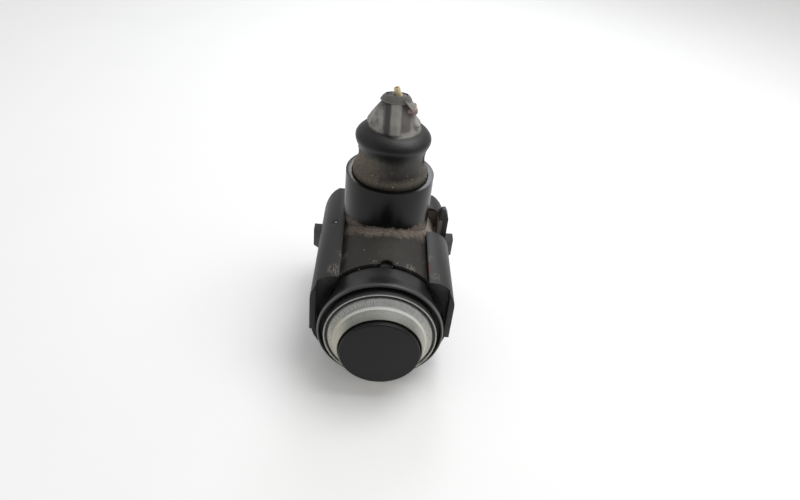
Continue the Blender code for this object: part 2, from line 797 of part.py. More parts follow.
def make_can(paint):
    edge = CAN_RADIUS / 8
    profile = [
        (0, 0),
        (CAN_RADIUS, 0),
        (CAN_RADIUS, CAN_HEIGHT - edge),
        (CAN_RADIUS - edge, CAN_HEIGHT),
        (0, CAN_HEIGHT),
    ]
    place = place_on_board((CAN_X, CAN_SHARE))
    finish(turned("storage_capacitor", profile, DRUM_FACETS, place), paint)


def make_small_parts(ceramic, black):
    for number in (1, 2, 3):
        share = SMALL_PART_SHARE + (number - 1) * SMALL_PART_SHARE_STEP
        size = (SMALL_PART_WIDTH, SMALL_PART_LENGTH, SMALL_PART_HEIGHT)
        chip(f"filter_capacitor_{number}", (-SMALL_PART_X, share), size, ceramic)
        chip(f"resistor_{number}", (SMALL_PART_X, share), size, black)


def make_pins(paint):
    top = COLLAR_FLOOR + PIN_REACH
    for number, x in pin_places():
        x_range, y_range = square_at(x, PIN_WIDTH)
        finish(block(f"connector_pin_{number}", x_range, y_range, (PART_SEAT, top)), paint)


def make_potting(paint):
    front = depth_to_y(BOARD_FRONT_DEPTH)
    z_range = (CAVITY_FLOOR + FIT, BOARD_BOTTOM - FIT)
    finish(inset_body("potting_block", WALL + FIT, front, z_range), paint)


def make_cover(paint):
    front = depth_to_y(CAVITY_FRONT_DEPTH) - COVER_LEDGE + FIT
    finish(cover_plan("base_cover", FIT, front, (0, COVER_THICKNESS)), paint)


# Harness plug

PLUG_RADIUS = COLLAR_BORE - FIT
PLUG_BASE = COLLAR_FLOOR + PLUG_BASE_GAP
PLUG_TOP = COLLAR_RIM - PLUG_TOP_BELOW_RIM
CAVITY_WIDTH = TERMINAL_WIDTH + 2 * HOLE_PLAY
PLUG_NECK_RADIUS = PIN_PITCH + CAVITY_WIDTH / 2 + PLUG_NECK_WALL
PLUG_NECK_TOP = PLUG_TOP + PLUG_NECK_HEIGHT
TERMINAL_BASE = PLUG_BASE + FIT
PIN_SLOT_TOP = COLLAR_FLOOR + PIN_REACH + FIT
TERMINAL_TOP = PIN_SLOT_TOP + TERMINAL_TOP_LENGTH
WIRE_START = TERMINAL_TOP + FIT


def make_plug(paint, rubber, metal):
    groove_radius = PLUG_RADIUS - SEAL_THICKNESS
    groove_low = PLUG_BASE + SEAL_RISE
    groove_high = groove_low + SEAL_HEIGHT
    profile = [
        (0, PLUG_BASE),
        (PLUG_RADIUS, PLUG_BASE),
        (PLUG_RADIUS, groove_low),
        (groove_radius, groove_low),
        (groove_radius, groove_high),
        (PLUG_RADIUS, groove_high),
        (PLUG_RADIUS, PLUG_TOP),
        (PLUG_NECK_RADIUS, PLUG_TOP),
        (PLUG_NECK_RADIUS, PLUG_NECK_TOP),
        (0, PLUG_NECK_TOP),
    ]
    plug = turned("plug_body", profile, ROUND_FACETS, place_on_collar)
    for _, x in pin_places():
        x_range, y_range = square_at(x, CAVITY_WIDTH)
        z_range = (PLUG_BASE - MARGIN, PLUG_NECK_TOP + MARGIN)
        cut(plug, block("terminal_cavity", x_range, y_range, z_range))
    finish(plug, paint)

    inner = groove_radius + FIT
    low = groove_low + FIT
    high = groove_high - FIT
    seal = [(inner, low), (PLUG_RADIUS, low), (PLUG_RADIUS, high), (inner, high)]
    finish(turned("plug_seal", seal, ROUND_FACETS, place_on_collar), rubber)

    for number, x in pin_places():
        x_range, y_range = square_at(x, TERMINAL_WIDTH)
        terminal = block(f"terminal_{number}", x_range, y_range, (TERMINAL_BASE, TERMINAL_TOP))
        x_range, y_range = square_at(x, PIN_WIDTH + 2 * HOLE_PLAY)
        cut(terminal, block("slot", x_range, y_range, (PLUG_BASE - MARGIN, PIN_SLOT_TOP)))
        finish(terminal, metal)


# Boot

def smooth_profile(stations, steps):
    """A smooth curve through (radius, height) stations, with a level tangent at each extreme."""
    points = []
    count = len(stations)
    for index in range(count - 1):
        before = stations[max(index - 1, 0)]
        start = stations[index]
        end = stations[index + 1]
        after = stations[min(index + 2, count - 1)]
        for step in range(steps):
            t = step / steps
            point = []
            for axis in (0, 1):
                a = 2 * start[axis]
                b = end[axis] - before[axis]
                c = 2 * before[axis] - 5 * start[axis] + 4 * end[axis] - after[axis]
                d = 3 * start[axis] - before[axis] - 3 * end[axis] + after[axis]
                point.append((a + b * t + c * t * t + d * t ** 3) / 2)
            points.append(tuple(point))
    points.append(stations[-1])
    return points


BOOT_SEAT_RADIUS = COLLAR_BORE - FIT
BOOT_BASE = PLUG_TOP + FIT


def boot_stations():
    rim = COLLAR_RIM
    return [
        (BOOT_SEAT_RADIUS, rim),
        (BOOT_SEAT_RADIUS - BOOT_FLARE_INSET, rim + BOOT_FLARE_HEIGHT),
        (BOOT_NECK_RADIUS, rim + BOOT_NECK_HEIGHT),
        (BOOT_BULGE_RADIUS, rim + BOOT_BULGE_HEIGHT),
        (BOOT_SHOULDER_RADIUS, rim + BOOT_SHOULDER_HEIGHT),
    ]


def boot_outside():
    profile = [(0, BOOT_BASE), (BOOT_SEAT_RADIUS, BOOT_BASE)]
    profile += smooth_profile(boot_stations(), 4)
    profile += [
        (BOOT_CORE_RADIUS, COLLAR_RIM + BOOT_CORE_HEIGHT),
        (BOOT_CAP_RADIUS, COLLAR_RIM + BOOT_CAP_HEIGHT),
        (BOOT_TIP_RADIUS, COLLAR_RIM + BOOT_TOP_HEIGHT),
        (0, COLLAR_RIM + BOOT_TOP_HEIGHT),
    ]
    return profile


def boot_inside():
    wall = BOOT_WALL
    profile = [(0, BOOT_BASE - MARGIN), (BOOT_SEAT_RADIUS - wall, BOOT_BASE - MARGIN)]
    lower = [(radius - wall, height) for radius, height in smooth_profile(boot_stations()[:-1], 3)]
    profile += lower
    wire_hole = WIRE_RADIUS + FIT
    shoulder = COLLAR_RIM + BOOT_SHOULDER_HEIGHT - wall
    cap = COLLAR_RIM + BOOT_CAP_HEIGHT
    profile += [
        (BOOT_SHOULDER_RADIUS - wall, shoulder),
        (BOOT_CORE_RADIUS - wall, COLLAR_RIM + BOOT_CORE_HEIGHT),
        (wire_hole, cap),
        (wire_hole, COLLAR_RIM + BOOT_TOP_HEIGHT + MARGIN),
        (0, COLLAR_RIM + BOOT_TOP_HEIGHT + MARGIN),
    ]
    return profile


def side_wire_ends(side):
    """Start and end of the straight run in which a side wire leaves the boot."""
    y = COLLAR_Y + side * SIDE_WIRE_SPACING / 2
    start = Vector((SIDE_WIRE_X, y, COLLAR_RIM + SIDE_WIRE_START_HEIGHT))
    end = Vector((SIDE_WIRE_EXIT_X, y, COLLAR_RIM + SIDE_WIRE_END_HEIGHT))
    return start, end


def swept(name, start, end, outline):
    """A straight rod with the given outline across it, from start to end."""
    shape = bmesh.new()
    along = (end - start).normalized()
    across = along.cross(Vector((0, 1, 0))).normalized()
    sideways = along.cross(across)
    near, far = [
        [shape.verts.new(centre + across * a + sideways * b) for a, b in outline]
        for centre in (start, end)
    ]
    shape.faces.new(near)
    shape.faces.new(reversed(far))
    for step in range(len(outline)):
        after = (step + 1) % len(outline)
        shape.faces.new((near[after], near[step], far[step], far[after]))
    return to_object(shape, name)


def circle(radius, facets):
    return arc((0, 0), radius, 0, 360, facets)[:-1]


def along_side_wires(height):
    """The point midway between the side wires at a height above the rim."""
    start = (side_wire_ends(-1)[0] + side_wire_ends(1)[0]) / 2
    end = (side_wire_ends(-1)[1] + side_wire_ends(1)[1]) / 2
    share = (COLLAR_RIM + height - start.z) / (end.z - start.z)
    return start.lerp(end, share)


def press_flat(thing):
    """Presses the cap flatter from front to back, more and more towards its top."""
    low = COLLAR_RIM + BOOT_CORE_HEIGHT
    high = COLLAR_RIM + BOOT_TOP_HEIGHT
    # Triangles stay flat when their corners move, as the later booleans need.
    shape = bmesh.new()
    shape.from_mesh(thing.data)
    bmesh.ops.triangulate(shape, faces=shape.faces)
    shape.to_mesh(thing.data)
    shape.free()
    for point in thing.data.vertices:
        share = min(max((point.co.z - low) / (high - low), 0), 1)
        flatness = 1 + (BOOT_TOP_FLATNESS - 1) * share
        point.co.y = COLLAR_Y + (point.co.y - COLLAR_Y) * flatness


def make_boot(paint):
    boot = turned("boot", boot_outside(), ROUND_FACETS, place_on_collar)
    press_flat(boot)

    # Two flat webs brace the cone, left and right.
    low = COLLAR_RIM + BOOT_SHOULDER_HEIGHT - BOOT_WALL / 2
    shoulder = COLLAR_RIM + BOOT_SHOULDER_HEIGHT
    high = COLLAR_RIM + BOOT_CAP_HEIGHT - WEB_TOP_INSET
    foot = BOOT_SHOULDER_RADIUS
    right = [(foot, low), (foot - WEB_TOP_INSET / 4, shoulder), (WEB_TOP_RADIUS, high)]
    outline = right + mirrored(right)
    half = WEB_THICKNESS / 2
    fuse(boot, prism("webs", outline, COLLAR_Y - half, COLLAR_Y + half, along_y))

    # A rib runs up the front of the cone, and one flat sleeve holds both side wires.
    foot = Vector((0, COLLAR_Y - BOOT_CORE_RADIUS, low))
    top = Vector((0, COLLAR_Y - RIB_TOP_Y, high - WEB_TOP_INSET))
    fuse(boot, swept("rib", foot, top, circle(RIB_RADIUS, SMALL_FACETS)))
    sleeve_radius = WIRE_RADIUS + FIT + SLEEVE_WALL
    half = SIDE_WIRE_SPACING / 2
    outline = arc((0, half), sleeve_radius, 0, 180, SLEEVE_STEPS)
    outline += arc((0, -half), sleeve_radius, 180, 360, SLEEVE_STEPS)
    foot = along_side_wires(BOOT_SHOULDER_HEIGHT - BOOT_WALL)
    top = along_side_wires(SLEEVE_TOP_HEIGHT)
    fuse(boot, swept("sleeve", foot, top, outline))

    # One tool hollows the boot and opens the two tunnels of the side wires.
    space = turned("boot_space", boot_inside(), ROUND_FACETS, place_on_collar)
    for side in (-1, 1):
        start, end = side_wire_ends(side)
        beyond = end + (end - start).normalized() * MARGIN
        fuse(space, swept("tunnel", start, beyond, circle(WIRE_RADIUS + FIT, SMALL_FACETS)))
    cut(boot, space)
    finish(boot, paint, 50)


def make_tape(paint):
    """A band of tape round the boot's cap, with a free end on the left and a flap on the right."""
    low = COLLAR_RIM + BOOT_CAP_HEIGHT + FIT
    high = COLLAR_RIM + BOOT_TOP_HEIGHT
    inner_low = BOOT_CAP_RADIUS + FIT
    inner_high = BOOT_TIP_RADIUS + FIT
    profile = [
        (inner_low, low),
        (inner_low + TAPE_THICKNESS, low),
        (inner_high + TAPE_THICKNESS, high),
        (inner_high, high),
    ]
    tape = turned("boot_tape", profile, ROUND_FACETS, place_on_collar)
    press_flat(tape)
    start = -inner_low - TAPE_THICKNESS / 2
    x_range = (start - TAPE_END_LENGTH, start)
    y_range = (COLLAR_Y - TAPE_THICKNESS, COLLAR_Y + TAPE_THICKNESS)
    fuse(tape, block("free_end", x_range, y_range, (low, low + TAPE_THICKNESS)))

    # A flap of the tape hangs over the two side wires on the right.
    root = inner_low + FIT / 2
    start = low + TAPE_THICKNESS / 4
    end = low - TAPE_FLAP_DROP
    outline = [
        (root, start),
        (TAPE_FLAP_X, end),
        (TAPE_FLAP_X, end + TAPE_THICKNESS),
        (root, start + TAPE_THICKNESS),
    ]
    y_range = (COLLAR_Y - TAPE_FLAP_HALF, COLLAR_Y + TAPE_FLAP_HALF)
    fuse(tape, prism("flap", outline, y_range[0], y_range[1], along_y))
    finish(tape, paint)


def bend(start, start_run, end, end_run, count):
    """Points on a smooth bend between two places and the runs through them."""
    points = []
    for step in range(count):
        t = step / (count - 1)
        first = 2 * t ** 3 - 3 * t ** 2 + 1
        second = t ** 3 - 2 * t ** 2 + t
        third = -2 * t ** 3 + 3 * t ** 2
        fourth = t ** 3 - t ** 2
        points.append(start * first + start_run * second + end * third + end_run * fourth)
    return points


def make_wire(name, x, exit_start, exit_end, paint):
    start = Vector((x, COLLAR_Y, WIRE_START))
    leave = Vector((x, COLLAR_Y, PLUG_NECK_TOP))
    length = (exit_start - leave).length
    upward = Vector((0, 0, length))
    outward = (exit_end - exit_start).normalized() * length
    points = [start] + bend(leave, upward, exit_start, outward, WIRE_STEPS) + [exit_end]
    curve = bpy.data.curves.new(name, 'CURVE')
    curve.dimensions = '3D'
    curve.bevel_depth = WIRE_RADIUS
    curve.bevel_resolution = 2
    curve.use_fill_caps = True
    spline = curve.splines.new('POLY')
    spline.points.add(len(points) - 1)
    for place, point in zip(spline.points, points):
        place.co = (*point, 1.0)
    curve.materials.append(paint)
    thing = bpy.data.objects.new(name, curve)
    bpy.context.scene.collection.objects.link(thing)


def make_wires(yellow, red, brown):
    rim = COLLAR_RIM
    top_start = Vector((0, COLLAR_Y, rim + BOOT_CORE_HEIGHT))
    top_end = Vector((0, COLLAR_Y, rim + YELLOW_STUB_HEIGHT))
    make_wire("wire_yellow", -PIN_PITCH, top_start, top_end, yellow)
    make_wire("wire_red", 0, *side_wire_ends(1), red)
    make_wire("wire_brown", PIN_PITCH, *side_wire_ends(-1), brown)


def main():
    clear_scene()
    charcoal = plastic("charcoal_plastic", (0.045, 0.043, 0.04), 0.55)
    satin = plastic("satin_black_plastic", (0.03, 0.03, 0.032), 0.35)
    grey_plastic = plastic("grey_plastic", (0.2, 0.2, 0.2), 0.5)
    paint = plastic("black_painted_metal", (0.02, 0.02, 0.02), 0.45)
    silicone = plastic("silicone", (0.35, 0.34, 0.28), 0.4)
    rubber = plastic("boot_rubber", (0.055, 0.05, 0.045), 0.75)
    worn_tape = plastic("tape", (0.08, 0.078, 0.075), 0.6)
    foam = plastic("foam", (0.5, 0.48, 0.4), 0.9)
    felt = plastic("felt", (0.3, 0.3, 0.3), 0.95)
    ceramic = plastic("piezo_ceramic", (0.6, 0.55, 0.4), 0.5)
    board = plastic("board_laminate", (0.02, 0.12, 0.05), 0.45)
    black = plastic("black_epoxy", (0.02, 0.02, 0.02), 0.4)
    ferrite = plastic("ferrite", (0.06, 0.06, 0.06), 0.6)
    copper = plastic("copper", (0.7, 0.35, 0.2), 0.35, 1.0)
    tin = plastic("tinned_metal", (0.6, 0.6, 0.58), 0.3, 1.0)
    potting = plastic("casting_compound", (0.05, 0.05, 0.05), 0.5)
    yellow = plastic("yellow_insulation", (0.6, 0.5, 0.25), 0.5)
    red = plastic("red_insulation", (0.5, 0.16, 0.12), 0.5)
    brown = plastic("brown_insulation", (0.3, 0.16, 0.1), 0.5)

    make_housing(charcoal)
    make_nose_ring(satin)
    make_decoupling_ring(silicone)
    make_membrane_cup(paint)
    make_head_filling(ceramic, foam, felt, grey_plastic, copper)
    make_board(board)
    size = (CHIP_WIDTH, CHIP_LENGTH, CHIP_HEIGHT)
    chip("sensor_chip", (CHIP_X, CHIP_SHARE), size, black)
    make_transformer(ferrite, copper)
    make_can(tin)
    make_small_parts(ceramic, black)
    make_pins(tin)
    make_potting(potting)
    make_cover(charcoal)
    make_plug(grey_plastic, silicone, tin)
    make_boot(rubber)
    make_tape(worn_tape)
    make_wires(yellow, red, brown)


main()
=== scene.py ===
# %% [markdown]
# # A parking sensor with the boot of its plug
# The sensor lies on its underside. Its membrane looks along -Y, the round collar of its
# connector stands up, and a dusty rubber boot fills that collar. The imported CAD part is
# loaded first and never moved. Each piece of this lesson is then built around it, in metres.

import json
import math

import bmesh
import bpy
from mathutils import Matrix, Vector, noise


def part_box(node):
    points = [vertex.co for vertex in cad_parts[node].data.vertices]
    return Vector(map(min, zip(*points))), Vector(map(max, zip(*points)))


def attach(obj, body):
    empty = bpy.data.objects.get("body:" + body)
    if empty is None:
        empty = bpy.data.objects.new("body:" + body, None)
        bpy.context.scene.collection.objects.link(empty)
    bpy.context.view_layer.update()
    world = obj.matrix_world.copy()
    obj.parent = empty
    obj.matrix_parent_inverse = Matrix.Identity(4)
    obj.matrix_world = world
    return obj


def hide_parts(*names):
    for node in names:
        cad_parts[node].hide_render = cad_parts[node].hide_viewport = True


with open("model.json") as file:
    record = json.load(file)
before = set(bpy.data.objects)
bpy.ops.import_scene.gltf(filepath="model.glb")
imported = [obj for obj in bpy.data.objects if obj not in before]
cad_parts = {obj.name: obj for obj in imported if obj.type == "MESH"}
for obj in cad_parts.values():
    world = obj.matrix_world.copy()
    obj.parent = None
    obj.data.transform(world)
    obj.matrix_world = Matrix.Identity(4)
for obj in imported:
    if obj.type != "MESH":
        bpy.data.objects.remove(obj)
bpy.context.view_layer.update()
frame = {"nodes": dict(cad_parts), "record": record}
print("nodes in the frame:", len(frame["nodes"]))

# %% [markdown]
# ## Sizes that the pieces share
# The looks have to sit where the solids are, so the main sizes of the part are repeated
# here under the names that they have on the bench. Depths run from the membrane to the rear.

# %% Main sizes
MM = 0.001
BODY_LENGTH = 43.5 * MM
AXIS_HEIGHT = 12.8 * MM
ARCH_RADIUS = 12.7 * MM
COLLAR_RADIUS = 9.5 * MM
COLLAR_INSET = 0.1 * MM
COLLAR_Y = BODY_LENGTH / 2 - COLLAR_RADIUS - COLLAR_INSET
COLLAR_RIM = 34.2 * MM
WIRE_RADIUS = 0.65 * MM


def depth_to_y(depth):
    return depth - BODY_LENGTH / 2


def place_on_nose(radius, angle, depth):
    """A point on a piece that is turned about the axis of the head."""
    return (radius * math.cos(angle), depth_to_y(depth), AXIS_HEIGHT + radius * math.sin(angle))


def place_on_collar(radius, angle, height):
    """A point on a piece that is turned about the axis of the collar."""
    return (radius * math.cos(angle), COLLAR_Y + radius * math.sin(angle), height)


print("the collar's axis is at y =", round(COLLAR_Y, 5))

# %% [markdown]
# ## The camera
# A photograph of such a small thing is taken from close by, so the picture has strong
# perspective. The camera stands above and in front, a little to the left, and its horizon
# is tilted. The view was fitted to the outlines of the real object, and then kept.

# %% Place the camera
CAMERA_PLACE = Vector((-5.29 * MM, -109.63 * MM, 105.73 * MM))
CAMERA_AZIMUTH = math.radians(-4.45)
CAMERA_ELEVATION = math.radians(37.23)
CAMERA_ROLL = math.radians(6.89)
LENS_MM = 29.25


def add_object(name, data):
    """Puts a new object into the scene, at the origin."""
    thing = bpy.data.objects.new(name, data)
    bpy.context.scene.collection.objects.link(thing)
    return thing


def add_camera():
    level = math.cos(CAMERA_ELEVATION)
    back = Vector((
        math.sin(CAMERA_AZIMUTH) * level,
        -math.cos(CAMERA_AZIMUTH) * level,
        math.sin(CAMERA_ELEVATION),
    ))
    right = (-back).cross(Vector((0, 0, 1))).normalized()
    up = right.cross(-back)
    turned_right = right * math.cos(CAMERA_ROLL) + up * math.sin(CAMERA_ROLL)
    turned_up = up * math.cos(CAMERA_ROLL) - right * math.sin(CAMERA_ROLL)
    data = bpy.data.cameras.new("camera")
    data.lens = LENS_MM
    data.clip_start = 1 * MM
    camera = add_object("camera", data)
    turn = Matrix((turned_right, turned_up, back)).transposed()
    camera.matrix_world = Matrix.Translation(CAMERA_PLACE) @ turn.to_4x4()
    bpy.context.scene.camera = camera
    return camera


camera = add_camera()
print("camera at", [round(part, 4) for part in camera.location])

# %% [markdown]
# ## A small language for node trees
# Materials and Geometry Nodes are both trees of nodes. Wiring them by hand hides the idea
# behind the wires. A small class wraps a socket, so that plain Python sums such as
# `1 - mask * 2` add the Math nodes, and one method adds every other kind of node.

# %% Sockets with operators
class Value:
    """An output socket. Python's operators on it add Math nodes to its tree."""

    def __init__(self, graph, socket):
        self.graph = graph
        self.socket = socket

    def __add__(self, other):
        return self.graph.math('ADD', self, other)

    def __sub__(self, other):
        return self.graph.math('SUBTRACT', self, other)

    def __rsub__(self, other):
        return self.graph.math('SUBTRACT', other, self)

    def __mul__(self, other):
        return self.graph.math('MULTIPLY', self, other)

    def __truediv__(self, other):
        return self.graph.math('DIVIDE', self, other)

    def __rtruediv__(self, other):
        return self.graph.math('DIVIDE', other, self)

    def __pow__(self, other):
        return self.graph.math('POWER', self, other)

    def __neg__(self):
        return self.graph.math('MULTIPLY', self, -1.0)

    def __abs__(self):
        return self.graph.math('ABSOLUTE', self)

    __radd__ = __add__
    __rmul__ = __mul__


class Graph:
    """A node tree that is being built, for a material or for Geometry Nodes."""

    def __init__(self, tree):
        self.tree = tree
        tree.nodes.clear()

    def add(self, kind, settings=None, sockets=None):
        """Adds a node. Settings are made first, then sockets get values or links."""
        made = self.tree.nodes.new(kind)
        for name, value in (settings or {}).items():
            setattr(made, name, value)
        for name, value in (sockets or {}).items():
            if isinstance(value, Value):
                self.tree.links.new(value.socket, made.inputs[name])
            else:
                made.inputs[name].default_value = value
        return made

    def out(self, kind, output, settings=None, sockets=None):
        return Value(self, self.add(kind, settings, sockets).outputs[output])

    def math(self, operation, first, second=0.0, third=0.0, clamp=False):
        settings = {"operation": operation, "use_clamp": clamp}
        return self.out("ShaderNodeMath", 0, settings, {0: first, 1: second, 2: third})

    def step(self, value, start, end):
        """0 up to start and 1 from end on, with a smooth rise between them."""
        sockets = {"Value": value, "From Min": start, "From Max": end}
        return self.out("ShaderNodeMapRange", "Result", {"interpolation_type": 'SMOOTHSTEP'}, sockets)

    def fall(self, value, start, end):
        """1 up to start and 0 from end on, with a smooth fall between them."""
        return 1 - self.step(value, start, end)

    def band(self, value, start, full, fading, end):
        """A rise from start to full, then 1, and a fall from fading to end."""
        return self.step(value, start, full) * self.fall(value, fading, end)

    def length(self, first, second):
        return self.math('SQRT', first * first + second * second)

    def vector(self, operation, first, second, output=0):
        return self.out("ShaderNodeVectorMath", output, {"operation": operation}, {0: first, 1: second})

    def split(self, vector):
        parts = self.add("ShaderNodeSeparateXYZ", None, {0: vector})
        return [Value(self, socket) for socket in parts.outputs]

    def join(self, x, y, z):
        return self.out("ShaderNodeCombineXYZ", 0, None, {0: x, 1: y, 2: z})

    def mix(self, share, first, second):
        """Blends two colours. A plain colour is a tuple of red, green and blue."""
        sockets = {0: share}
        for index, colour in ((6, first), (7, second)):
            sockets[index] = colour if isinstance(colour, Value) else (*colour, 1.0)
        return self.out("ShaderNodeMix", 2, {"data_type": 'RGBA'}, sockets)


print("the helpers for node trees are ready")

# %% [markdown]
# ## Turned pieces with soft corners
# The head of the sensor is a set of rings about one axis, as if turned on a lathe. A mould
# never leaves a knife edge, so each corner of a profile gets a small radius before it is
# turned. That narrow curve is what catches the light along every rim.

# %% Turn a profile
RING_STEPS = 160


def soft_profile(corners, steps):
    """A closed profile. Each corner is (radius, along, corner radius), in millimetres."""
    points = []
    count = len(corners)
    corners = [[part * MM for part in corner] for corner in corners]
    for index, (radius, along, size) in enumerate(corners):
        here = Vector((radius, along))
        if size == 0:
            points.append(tuple(here))
            continue
        before = Vector(corners[index - 1][:2]) - here
        after = Vector(corners[(index + 1) % count][:2]) - here
        reach = min(size, before.length * 0.45, after.length * 0.45)
        start = here + before.normalized() * reach
        end = here + after.normalized() * reach
        for step in range(steps + 1):
            t = step / steps
            points.append(tuple(start * (1 - t) ** 2 + here * 2 * t * (1 - t) + end * t ** 2))
    return points


def to_object(shape, name, material=None, smooth_angle=40):
    """Turns a bmesh into an object at the origin, with smooth shading up to an angle."""
    mesh = bpy.data.meshes.new(name)
    shape.to_mesh(mesh)
    shape.free()
    for face in mesh.polygons:
        face.use_smooth = True
    mesh.set_sharp_from_angle(angle=math.radians(smooth_angle))
    if material:
        mesh.materials.append(material)
    return add_object(name, mesh)


def turned(profile, place, steps=RING_STEPS):
    """A closed body of revolution from a closed profile of (radius, along) points."""
    shape = bmesh.new()
    rings = []
    for radius, along in profile:
        if radius < 0.01 * MM:
            rings.append([shape.verts.new(place(0, 0, along))])
            continue
        angles = [2 * math.pi * step / steps for step in range(steps)]
        rings.append([shape.verts.new(place(radius, angle, along)) for angle in angles])
    for ring, following in zip(rings, rings[1:] + rings[:1]):
        if len(ring) == 1 and len(following) == 1:
            continue
        for step in range(steps):
            after = (step + 1) % steps
            if len(ring) == 1:
                corners = (ring[0], following[step], following[after])
            elif len(following) == 1:
                corners = (ring[after], ring[step], following[0])
            else:
                corners = (ring[after], ring[step], following[step], following[after])
            shape.faces.new(corners)
    bmesh.ops.recalc_face_normals(shape, faces=shape.faces)
    return shape


def plain_mesh(thing):
    """Applies the modifiers of a piece and returns it as a plain mesh."""
    graph = bpy.context.evaluated_depsgraph_get()
    mesh = bpy.data.meshes.new_from_object(thing.evaluated_get(graph))
    thing.modifiers.clear()
    old = thing.data
    thing.data = mesh
    bpy.data.meshes.remove(old)
    mesh.name = thing.name
    return thing


def settle(piece, slot, *nodes):
    """Rides a finished piece on the part and hides what it replaces."""
    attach(piece, "root")
    if nodes:
        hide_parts(*nodes)
    print(piece.name, len(piece.data.polygons), "faces")


print("profiles get soft corners, and are turned in", RING_STEPS, "steps")

# %% [markdown]
# ## Finishes
# Every finish starts from the place of a point on the piece, in millimetres. Noise at two or
# three sizes gives the grain of a mould, the mottling of age and the specks of dust. The
# colour is then laid on in coats, and where each coat lies depends on the place.

# %% Start a finish
class Finish(Graph):
    """A new material with its shader, whose colour is laid on in coats."""

    def __init__(self, name, constants=None):
        self.material = bpy.data.materials.new(name)
        self.material.use_nodes = True
        super().__init__(self.material.node_tree)
        self.shader = self.add("ShaderNodeBsdfPrincipled", None, constants)
        end = self.add("ShaderNodeOutputMaterial")
        self.tree.links.new(self.shader.outputs[0], end.inputs[0])
        sockets = {0: self.out("ShaderNodeTexCoord", "Object"), "Scale": 1 / MM}
        self.place = self.out("ShaderNodeVectorMath", 0, {"operation": 'SCALE'}, sockets)
        self.x, self.y, self.z = self.split(self.place)
        self.colour = None

    def stretched(self, stretch):
        return self.vector('MULTIPLY', self.place, stretch) if stretch else self.place

    def grain(self, per_mm, detail=3.0, roughness=0.5, stretch=None):
        sockets = {"Scale": per_mm, "Detail": detail, "Roughness": roughness}
        return self.out("ShaderNodeTexNoise", 0, None, {"Vector": self.stretched(stretch), **sockets})

    def near(self, spot, reach, stretch=None):
        """1 at a spot of the piece and 0 from the given reach on, both in millimetres."""
        distance = self.vector('DISTANCE', self.stretched(stretch), spot, 1)
        return self.fall(distance, reach * 0.4, reach)

    def coat(self, share, tone):
        """Lays a tone over the colour so far, as thick as the share says."""
        self.colour = self.mix(share, self.colour, tone)

    def done(self, roughness, height, depth_mm):
        """Connects colour, roughness and relief to the shader and returns the material."""
        sockets = {"Height": height, "Distance": depth_mm * MM, "Strength": 1.0}
        relief = self.out("ShaderNodeBump", 0, None, sockets)
        for name, value in (("Base Color", self.colour), ("Roughness", roughness), ("Normal", relief)):
            self.tree.links.new(value.socket, self.shader.inputs[name])
        return self.material


print("finishes start from millimetres on the piece")

# %% [markdown]
# ### Charcoal housing plastic
# The housing is one moulding, but it doesn't look the same all over. The rails are a clean
# charcoal, the arch between them is browner with ground-in dirt, the collar is painted nearly
# black as shade, and pale brown dust has settled where the collar meets the arch. Edges are
# rubbed lighter.

# %% The housing's finish
CHARCOAL = (0.031, 0.0310, 0.0300)
DEEP_CHARCOAL = (0.014, 0.0138, 0.0135)
SHADE_BLACK = (0.0018, 0.0018, 0.0018)
ARCH_BROWN = (0.031, 0.0282, 0.0238)
ARCH_GREEN = (0.044, 0.043, 0.033)
DUST = (0.270, 0.222, 0.182)
DUST_SHADE = (0.095, 0.079, 0.066)
NOTCH_DUST = (0.30, 0.265, 0.235)
PALE_DUST = (0.36, 0.31, 0.25)
RUBBED = (0.115, 0.112, 0.106)
RED_STAIN = (0.115, 0.020, 0.020)
GLINT = (0.45, 0.45, 0.46)
DIMPLE = (-11.1, 7.3, 22.8)
KEYWAY = (0.3, -9.3, 24.9)
SCUFFS = [
    ((-8.8, -3.9, 22.2), 1.8), ((-9.8, -9.0, 22.7), 2.2), ((-2.2, -8.7, 25.2), 1.0),
    ((10.2, -9.0, 21.8), 2.2), ((9.2, -3.2, 22.9), 1.4), ((5.0, -8.6, 24.4), 1.6),
]


def dust_places(paint, streaks, mottle, specks):
    """Where dust has settled: on the arch round the collar, and in the notch."""
    x, y, z = paint.x, paint.y, paint.z
    from_wall = paint.length(x, y - COLLAR_Y / MM) - COLLAR_RADIUS / MM
    radius = ARCH_RADIUS / MM
    arch_height = paint.math('SQRT', paint.math('MAXIMUM', radius ** 2 - x * x, 0.0))
    above = z - arch_height - AXIS_HEIGHT / MM
    beside = paint.step(abs(x), 4.2, 7.6)
    ragged = from_wall + (streaks - 0.5) * 4.5 + (mottle - 0.5) * 2.0 + (specks - 0.5) * 3.0
    close = paint.fall(ragged, 1.3, 3.5)
    low = paint.fall(above + (streaks - 0.5) * 2.0, 0.12 + 0.9 * beside, 0.4 + 2.4 * beside)
    settled = close * low * paint.fall(abs(x), 8.85, 9.05) * paint.step(z, 20.5, 21.6)
    in_notch = paint.band(x, 8.9, 9.1, 12.7, 13.3) * paint.band(y, 6.0, 6.4, 15.2, 16.2)
    in_notch = in_notch * paint.band(z, 17.2, 17.9, 22.2, 22.6)
    return settled, in_notch, from_wall, above


